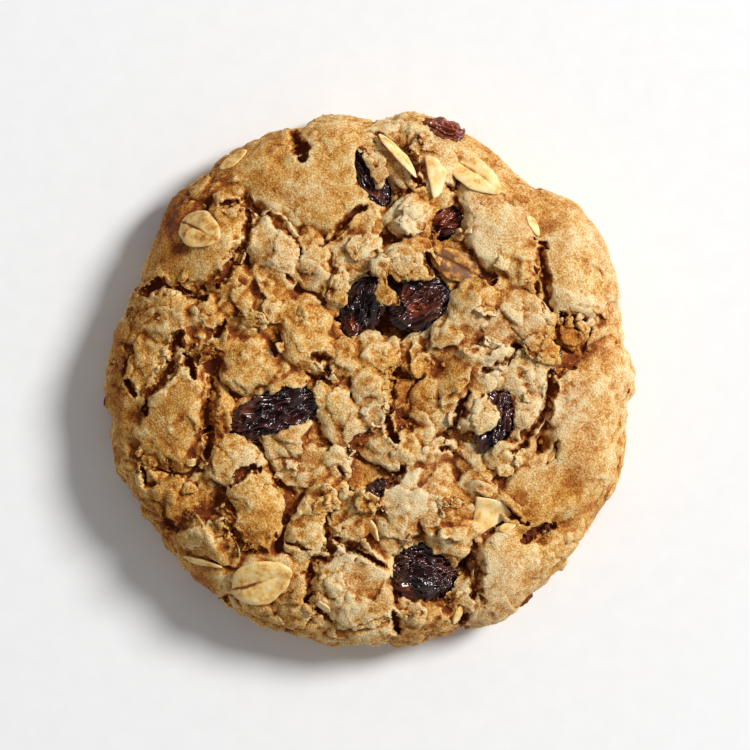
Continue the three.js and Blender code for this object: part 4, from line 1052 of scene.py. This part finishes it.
# Specks of cinnamon and brown sugar a fifth of a millimetre across, one to each few square millimetres, and
# pale grains of sugar of that size, close together. Each is given as the distance between them in mm, how
# rare they are, their radius as a share of the distance, softness, strength and two colours
for apart, rarity, radius, softness, strength, first, second in [
    (1.3, 0.7, 0.12, 0.05, 0.75, "#8a2c16", "#24110b"), (0.6, 0.5, 0.22, 0.08, 0.55, "#f7dfb4", "#f7dfb4"),
]:
    cells = add(tree, "ShaderNodeTexVoronoi", {"Vector": place, "Scale": 1 / apart}).node.outputs
    chance = add(tree, "ShaderNodeSeparateColor", {0: cells["Color"]}).node.outputs
    reach = add(tree, "ShaderNodeMapRange", {0: chance[0], 1: rarity, 2: 1.0, 3: 0.0, 4: radius})
    inside = add(tree, "ShaderNodeMath", {0: reach, 1: cells["Distance"]}, operation="SUBTRACT")
    there = add(tree, "ShaderNodeMapRange", {0: inside, 1: 0.0, 2: softness, 3: 0.0, 4: strength})
    tint = add(tree, "ShaderNodeMixRGB", {0: chance[1], 1: colour(first), 2: colour(second)})
    body = add(tree, "ShaderNodeMixRGB", {0: there, 1: body, 2: tint})

fine = add(tree, "ShaderNodeTexNoise", {"Vector": place, "Scale": 1 / 0.26, "Detail": 2, "Roughness": 0.6})
relief = add(tree, "ShaderNodeBump", {"Height": fine, "Strength": 1.0, "Distance": 0.00018})
finish = add(tree, "ShaderNodeBsdfPrincipled", {
    "Base Color": body, "Roughness": 0.82, "Specular IOR Level": 0.25, "Normal": relief,
})
add(tree, "ShaderNodeOutputMaterial", {0: finish})

to_metres(crust)
crust.data.materials.clear()
crust.data.polygons.foreach_set("material_index", np.zeros(len(crust.data.polygons), np.int32))
crust.data.materials.append(dough_look)
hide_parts("cookie_dough")
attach(crust, "root")

# ------------------------------------------------------------------------------------------------
# The raisins. Dried grapes, each with its skin drawn into long wrinkles, set in the dough before baking
# and swollen a little by it, so that their ridges shine.

# Wrinkles, each given as (size, depth) in mm, and where the skin is thin and red: x, y and how far round
FOLDS = [(3.4, 0.4), (1.7, 0.35)]
WRINKLES = [(0.95, 0.5), (0.45, 0.6), (0.24, 0.16)]
WRINKLE_DRIFT = [(2.6, 0.7)]  # how they stray sideways
WRINKLE_DRAWING = 0.28  # how wide they are as a share of their length
LARGE_RAISIN = 6.0  # raisins wider than this are divided once more
RUDDY_PLACES = [
    (-2.9, 7.6, 1.5), (6.2, 10, 0.9), (4.8, 12.8, 1), (13.8, -9.7, 1.6), (10.6, 22.8, 2.5), (10.6, 36.4, 4),
    (5.2, -30, 1.4), (-18.6, -8, 1.2),
]


def raisin_skin(length, width, thickness, order, level):
    """A raisin with its large folds, and wrinkles with sharp crests that run along it."""
    points, faces = raisin_form(length, width, thickness, 0, order, level)
    outward, _ = ball(level)
    first = 400 + 10 * order
    drift = astray(points, WRINKLE_DRIFT, (first, first + 1, first + 2))
    drawn = (points + drift) * [WRINKLE_DRAWING, 1, 1]
    total = rugged(drawn, FOLDS, 500 + 10 * order) + grainy(drawn, WRINKLES, 505 + 10 * order)
    return points + outward * total[:, None], faces


# Raisin skin: nearly black with purple and red-brown where it is thin, glossy from its sugar
raisin_look, tree, place = new_material("raisin_skin")
patches = add(tree, "ShaderNodeTexNoise", {"Vector": place, "Scale": 1 / 4.0, "Detail": 3})
body = add(tree, "ShaderNodeValToRGB", {0: patches}, stops=[
    (0.34, colour("#200d0e")), (0.5, colour("#381713")), (0.64, colour("#58281b")), (0.8, colour("#7a381d")),
])
thin = add(tree, "ShaderNodeAttribute", attribute_name="ruddy", out=2)
thin = add(tree, "ShaderNodeMath", {0: patches, 1: 1.2, 2: thin}, operation="MULTIPLY_ADD")
thin = add(tree, "ShaderNodeMapRange", {0: thin, 1: 0.75, 2: 1.5, 3: 0.0, 4: 1.0})
body = add(tree, "ShaderNodeMixRGB", {0: thin, 1: body, 2: colour("#8a3a1a")})
fine = add(tree, "ShaderNodeTexNoise", {"Vector": place, "Scale": 1 / 0.35, "Detail": 3})
relief = add(tree, "ShaderNodeBump", {"Height": fine, "Strength": 0.35, "Distance": 0.0001})
dull = add(tree, "ShaderNodeMapRange", {0: patches, 1: 0.3, 2: 0.7, 3: 0.14, 4: 0.3})
finish = add(tree, "ShaderNodeBsdfPrincipled", {
    "Base Color": body, "Roughness": dull, "Normal": relief, "Coat Weight": 0.9, "Coat Roughness": 0.1,
})
add(tree, "ShaderNodeOutputMaterial", {0: finish})

for order, (name, x, y, length, width, thickness, turn, height) in enumerate(RAISINS):
    axes, middle = place_on_dome(x, y, turn, height)
    form = raisin_skin(length, width, thickness, order, 7 if width > LARGE_RAISIN else 6)
    points, faces = placed(form, axes, middle)
    raisin = as_object(name + "_skin", points, faces)
    set_layer(raisin.data, "ruddy", "FLOAT", sum(falloff(points, *thin) for thin in RUDDY_PLACES))
    to_metres(raisin)
    raisin.data.materials.append(raisin_look)
    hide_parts(name)
    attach(raisin, "root")

# ------------------------------------------------------------------------------------------------
# The bare oat flakes. Rolled oats pressed on the dough, thin ovals with a crease along the middle; the
# dough did not coat them, so they stay cream with toasted rims.

# x, y, length, width, turn, the extra tilts of length and width in degrees, how far the middle stands off
# the dough, how toasted it is and, where it is broken, its corners from its middle
FLAKES = [
    [-23.8, 20.9, 7.4, 5.2, -27, 0, 0, 0.3, 0.5], [15.1, 28.6, 8.4, 4.6, -36, 0, 0, 0.3, 0.2],
    [-15, -28.3, 9, 6.3, 18, 0, 0, 0.3, 0.35], [12.8, 15.8, 8.8, 4.2, -26, 0, -8, 0.1, 1.0],
    [17, -18.7, 5.8, 5.6, 0, 0, 0, 0.4, 0.1, (-2.7, -2.5), (-1.2, -3), (3.2, -0.4), (1.6, 1.8), (0.2, 2.2),
     (-2.3, 2.8)],
    [9.2, 28.2, 3, 6, 0, 0, 0, 0.4, 0, (-1.4, 3.2), (-0.9, 0.2), (-0.2, -2.9), (0.9, -1.8), (1.6, 0.9),
     (0.4, 2.9)],
    [2.6, -26, 3, 4.4, 0, 0, 0, 0.4, 0.1, (-1.2, 2), (0.4, 1.8), (1.3, -0.8), (0.2, -2.1), (-1, -0.4)],
    [23.1, 21.6, 3.4, 1.7, -62, 0, 0, 0.2, 0.1], [-23.6, -25.6, 6.4, 1.5, -11, 0, 25, 0.5, 0.3],
    [-6.3, -31.9, 3, 1.9, -55, 0, 0, 0.2, 0.1], [3.6, 31, 8.6, 3.0, -50, 0, -14, 0.9, 0.1],
    [-8.3, -4.2, 3.2, 2.2, 60, 0, 0, 0.2, 0.3], [-19.2, 31, 4.4, 2.4, 35, 0, 10, 0.3, 0.6],
    [0.6, -21.2, 3.6, 1.2, -65, 0, 20, 0.4, 0.1], [25.9, -10.7, 2.4, 1.3, 70, 0, 0, 0.2, 0.2],
    [19.5, -20.8, 2.4, 1.4, 20, 0, 0, 0.2, 0.3], [12.6, -33.2, 3.4, 1.6, 70, 0, 0, 0.2, 0.3],
]
FLAKE_RINGS = 20
FLAKE_SPOKES = 72
WHOLE_FLAKE = 7  # flakes longer than this have the crease and the bulges of a whole one
FLAKE_CREASE = 0.13
FLAKE_BULGE = 0.35
FLAKE_CUP = 0.03  # how fast the sides curl up
FLAKE_WAVES = [(4, 0.3), (1.8, 0.14), (0.6, 0.04)]
FLAKE_RIM = [(2.2, 0.3), (0.8, 0.12)]
FLAKE_HALF = 0.24  # half the thickness at the middle
RIM_HALF = 0.03  # what is left of it at the rim


def oat_flake(length, width, corners, seed):
    """Both faces of a flake round its rim; also how far along, across and out each point is."""
    out = np.concatenate([np.linspace(0, 1, FLAKE_RINGS) ** 0.8, np.linspace(1, 0, FLAKE_RINGS) ** 0.8])
    side = np.concatenate([np.ones(FLAKE_RINGS), -np.ones(FLAKE_RINGS)])
    angles = np.linspace(0, 2 * np.pi, FLAKE_SPOKES, endpoint=False)
    r, a = np.meshgrid(out, angles, indexing="ij")
    upper = np.repeat(side, FLAKE_SPOKES).reshape(r.shape)
    u, v = r * np.cos(a), r * np.sin(a)
    x, y = u * length / 2, v * (1 - 0.2 * u) * (1.06 - 0.2 * u**2) * width / 2
    if corners:
        reach = outline_reach(np.array(corners, float), a)
        x, y = u * reach, v * reach
    flat = np.column_stack([x.ravel(), y.ravel(), np.zeros(x.size)])
    rim = rugged(flat, FLAKE_RIM, 500 + seed).reshape(x.shape)
    x, y = x + rim * u * r**3, y + rim * v * r**3
    half_thick = FLAKE_HALF * (1 - r**4) ** 0.5 + RIM_HALF
    v = v + rugged(flat, [(3, 0.16), (0.9, 0.05)], 540 + seed).reshape(x.shape)
    deep, high = (FLAKE_CREASE, FLAKE_BULGE) if length > WHOLE_FLAKE else (0, 0)
    crease = deep * np.exp(-((v / 0.07) ** 2)) * (1 - r**4) * np.clip(0.8 - u, 0, 1)
    bulge = high * (1 - r**2) * np.sqrt(np.abs(v))
    waves = rugged(flat, FLAKE_WAVES, 520 + seed).reshape(x.shape)
    cup = bulge + FLAKE_CUP * (y**2 - 0.3 * x**2) + waves
    z = cup + upper * half_thick - np.where(upper > 0, crease, 0)
    points = np.column_stack([x.ravel(), y.ravel(), z.ravel()])
    rows = len(out)
    i, j = np.meshgrid(np.arange(rows - 1), np.arange(FLAKE_SPOKES), indexing="ij")
    k = (j + 1) % FLAKE_SPOKES
    here, beyond = i * FLAKE_SPOKES, (i + 1) * FLAKE_SPOKES
    faces = np.stack([c.ravel() for c in (here + j, beyond + j, beyond + k, here + k)], axis=1)
    return points, faces, np.column_stack([u.ravel(), v.ravel(), r.ravel() * upper.ravel()])


def crust_point(x, y):
    """The highest place of the crust over (x, y)."""
    return np.array(crust_tree.ray_cast(Vector((x, y, 30)), Vector((0, 0, -1)))[0])


PLUMB_AT = 0.35  # from the middle of a flake to where it is set against the crust, as a share of its size


def lie_on_crust(x, y, length, width, turn, tilt_length, tilt_width, lift):
    """Axes and middle of something that lies on the crust, from plumb lines at its middle and ends."""
    cos, sin = (PLUMB_AT * part for part in cos_sin(turn))
    front, back = (crust_point(x + k * length * cos, y + k * length * sin) for k in (1, -1))
    left, right = (crust_point(x - k * width * sin, y + k * width * cos) for k in (1, -1))
    along = unit(front - back)
    normal = unit(np.cross(along, left - right))
    middle = (crust_point(x, y) + front + back + left + right) / 5 + lift * normal
    (ca, sa), (cb, sb) = cos_sin(tilt_width), cos_sin(tilt_length)
    roll = np.array([[1, 0, 0], [0, ca, -sa], [0, sa, ca]])
    pitch = np.array([[cb, 0, sb], [0, 1, 0], [-sb, 0, cb]])
    return axes_of(along, normal) @ roll @ pitch, middle


# Rolled oat: cream, toasted at the rim, brown along the crease, with fine fibres along it
oat_look, tree, place = new_material("rolled_oat")
on_flake = add(tree, "ShaderNodeAttribute", attribute_name="on_flake", out=1)
spot = add(tree, "ShaderNodeSeparateXYZ", {0: on_flake}).node.outputs
across = add(tree, "ShaderNodeMath", {0: spot[1]}, operation="ABSOLUTE")
crease = add(tree, "ShaderNodeMapRange", {0: across, 1: 0.0, 2: 0.09, 3: 0.4, 4: 0.0})
fading = add(tree, "ShaderNodeMapRange", {0: spot[0], 1: -0.2, 2: 0.7, 3: 1.0, 4: 0.0})
crease = add(tree, "ShaderNodeMath", {0: crease, 1: fading}, operation="MULTIPLY")
edge = add(tree, "ShaderNodeMapRange", {0: spot[2], 1: 0.8, 2: 1.0, 3: 0.0, 4: -0.1})
blotch = add(tree, "ShaderNodeTexNoise", {"Vector": place, "Scale": 1 / 1.6, "Detail": 4, "Roughness": 0.65})
toast = add(tree, "ShaderNodeMath", {0: crease, 1: edge}, operation="ADD")
toast = add(tree, "ShaderNodeMath", {0: blotch, 1: 1.2, 2: toast}, operation="MULTIPLY_ADD")
browning = add(tree, "ShaderNodeAttribute", attribute_name="toasted", out=2)
toast = add(tree, "ShaderNodeMath", {0: browning, 1: 0.35, 2: toast}, operation="MULTIPLY_ADD")
body = add(tree, "ShaderNodeValToRGB", {0: toast}, stops=[
    (0.45, colour("#fae3ae")), (0.7, colour("#f2c97a")), (0.86, colour("#cf9040")), (1.0, colour("#73451d")),
])
fine = add(tree, "ShaderNodeTexNoise", {"Vector": place, "Scale": 1 / 0.4, "Detail": 3})
relief = add(tree, "ShaderNodeBump", {"Height": fine, "Strength": 0.3, "Distance": 0.0001})
finish = add(tree, "ShaderNodeBsdfPrincipled", {
    "Base Color": body, "Roughness": 0.55, "Specular IOR Level": 0.35, "Normal": relief,
})
add(tree, "ShaderNodeOutputMaterial", {0: finish})

parts, spots, toasted = [], [], []
for order, (*lie, browning, corners) in enumerate([*row[:9], row[9:]] for row in FLAKES):
    axes, middle = lie_on_crust(*lie)
    length, width = lie[2:4]
    points, faces, spot_values = oat_flake(length, width, corners, order)
    if length < WHOLE_FLAKE:
        spot_values[:, 0] = 1  # past the end of the crease, so that none is drawn
    parts.append(placed((points, faces), axes, middle))
    spots.append(spot_values)
    toasted.append(np.full(len(points), browning))
flakes = as_object("oat_flakes", *joined(parts))
set_layer(flakes.data, "on_flake", "FLOAT_VECTOR", np.concatenate(spots))
set_layer(flakes.data, "toasted", "FLOAT", np.concatenate(toasted))
to_metres(flakes)
flakes.data.materials.append(oat_look)
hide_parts("cookie_dough")
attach(flakes, "root")

# ------------------------------------------------------------------------------------------------
# Crumbs. Bits of dough that broke off and lie in the cracks and on the lumps.

CRUMBS = 380
CRUMB_TOP = 1.9  # they have rolled off what stands higher than this above the plain dough
CRUMB_SIZES = (0.25, 0.75)
FARTHEST_CRUMB = 35.5  # from the middle of the cookie

draw = np.random.default_rng(31)
parts = []
while len(parts) < CRUMBS:
    reach, angle = FARTHEST_CRUMB * math.sqrt(draw.uniform()), draw.uniform(0, 2 * math.pi)
    size = draw.uniform(*CRUMB_SIZES) ** 1.3  # small ones are the most common
    at = crust_point(reach * math.cos(angle), reach * math.sin(angle)) + [0, 0, 0.25 * size]
    if at[2] > dome_height(at[None])[0] + CRUMB_TOP:
        continue
    points, faces = ball(2)
    points = points * size * draw.uniform(0.35, 0.6, 3)
    points = points * (1 + 0.5 * swell(points + 40 * len(parts), 0.5 * size, 600))[:, None]
    parts.append((points + at, faces))
crumbs = as_object("crumbs", *joined(parts))
set_layer(crumbs.data, "hollow", "FLOAT_VECTOR", np.zeros((len(crumbs.data.vertices), 3)))
set_layer(crumbs.data, "lump_shade", "FLOAT", np.zeros(len(crumbs.data.vertices)))
to_metres(crumbs)
crumbs.data.materials.append(dough_look)
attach(crumbs, "root")

# ------------------------------------------------------------------------------------------------
# The table and the light: a white table top under one large soft light from the back right, with a
# white room round it, and a long lens straight above.

TABLE_SIDE = 3.0  # metres
ROOM_GLOW = 0.28
WINDOW_PLACE = (1.0, 0.52, 1.0)  # metres
WINDOW_SIZE = 0.48
WINDOW_WATTS = 25.0

table_mesh = bpy.data.meshes.new("table_top")
half = TABLE_SIDE / 2
corners = [(-half, -half, 0), (half, -half, 0), (half, half, 0), (-half, half, 0)]
table_mesh.from_pydata(corners, [], [(0, 1, 2, 3)])
table_top = bpy.data.objects.new("table_top", table_mesh)
bpy.context.scene.collection.objects.link(table_top)

# Matt white paper, with a faint mottle of its fibres
table_look, tree, place = new_material("white_paper")
fibre = add(tree, "ShaderNodeTexNoise", {"Vector": place, "Scale": 1 / 3.0, "Detail": 3})
body = add(tree, "ShaderNodeValToRGB", {0: fibre}, stops=[(0.3, colour("#f4f4f4")), (0.7, colour("#f7f7f7"))])
finish = add(tree, "ShaderNodeBsdfPrincipled", {
    "Base Color": body, "Roughness": 0.9, "Specular IOR Level": 0.2,
})
add(tree, "ShaderNodeOutputMaterial", {0: finish})
table_mesh.materials.append(table_look)

room = bpy.data.worlds.new("white_room")
room.use_nodes = True
room.node_tree.nodes["Background"].inputs["Color"].default_value = (1, 1, 1, 1)
room.node_tree.nodes["Background"].inputs["Strength"].default_value = ROOM_GLOW
bpy.context.scene.world = room

lamp = bpy.data.lights.new("window", "AREA")
lamp.shape, lamp.size, lamp.energy = "DISK", WINDOW_SIZE, WINDOW_WATTS
window = bpy.data.objects.new("window", lamp)
window.location = WINDOW_PLACE
window.rotation_euler = (-Vector(WINDOW_PLACE)).to_track_quat("-Z", "Y").to_euler()
bpy.context.scene.collection.objects.link(window)

VIEW = (0.616, 0.491, 6.0)  # what the lens is centred on, in mm
VIEW_WIDTH = 107.14  # seen across the frame at that height, in mm
LENS = 180.0
SENSOR = 36.0
camera = bpy.data.objects.new("camera", bpy.data.cameras.new("camera"))
camera.data.lens = LENS
camera.data.sensor_width = SENSOR
camera.data.clip_start, camera.data.clip_end = 0.01, 20
camera.location = (VIEW[0] / 1000, VIEW[1] / 1000, (VIEW[2] + VIEW_WIDTH * LENS / SENSOR) / 1000)
bpy.context.scene.collection.objects.link(camera)
bpy.context.scene.camera = camera
bpy.context.scene.view_settings.view_transform = "Standard"
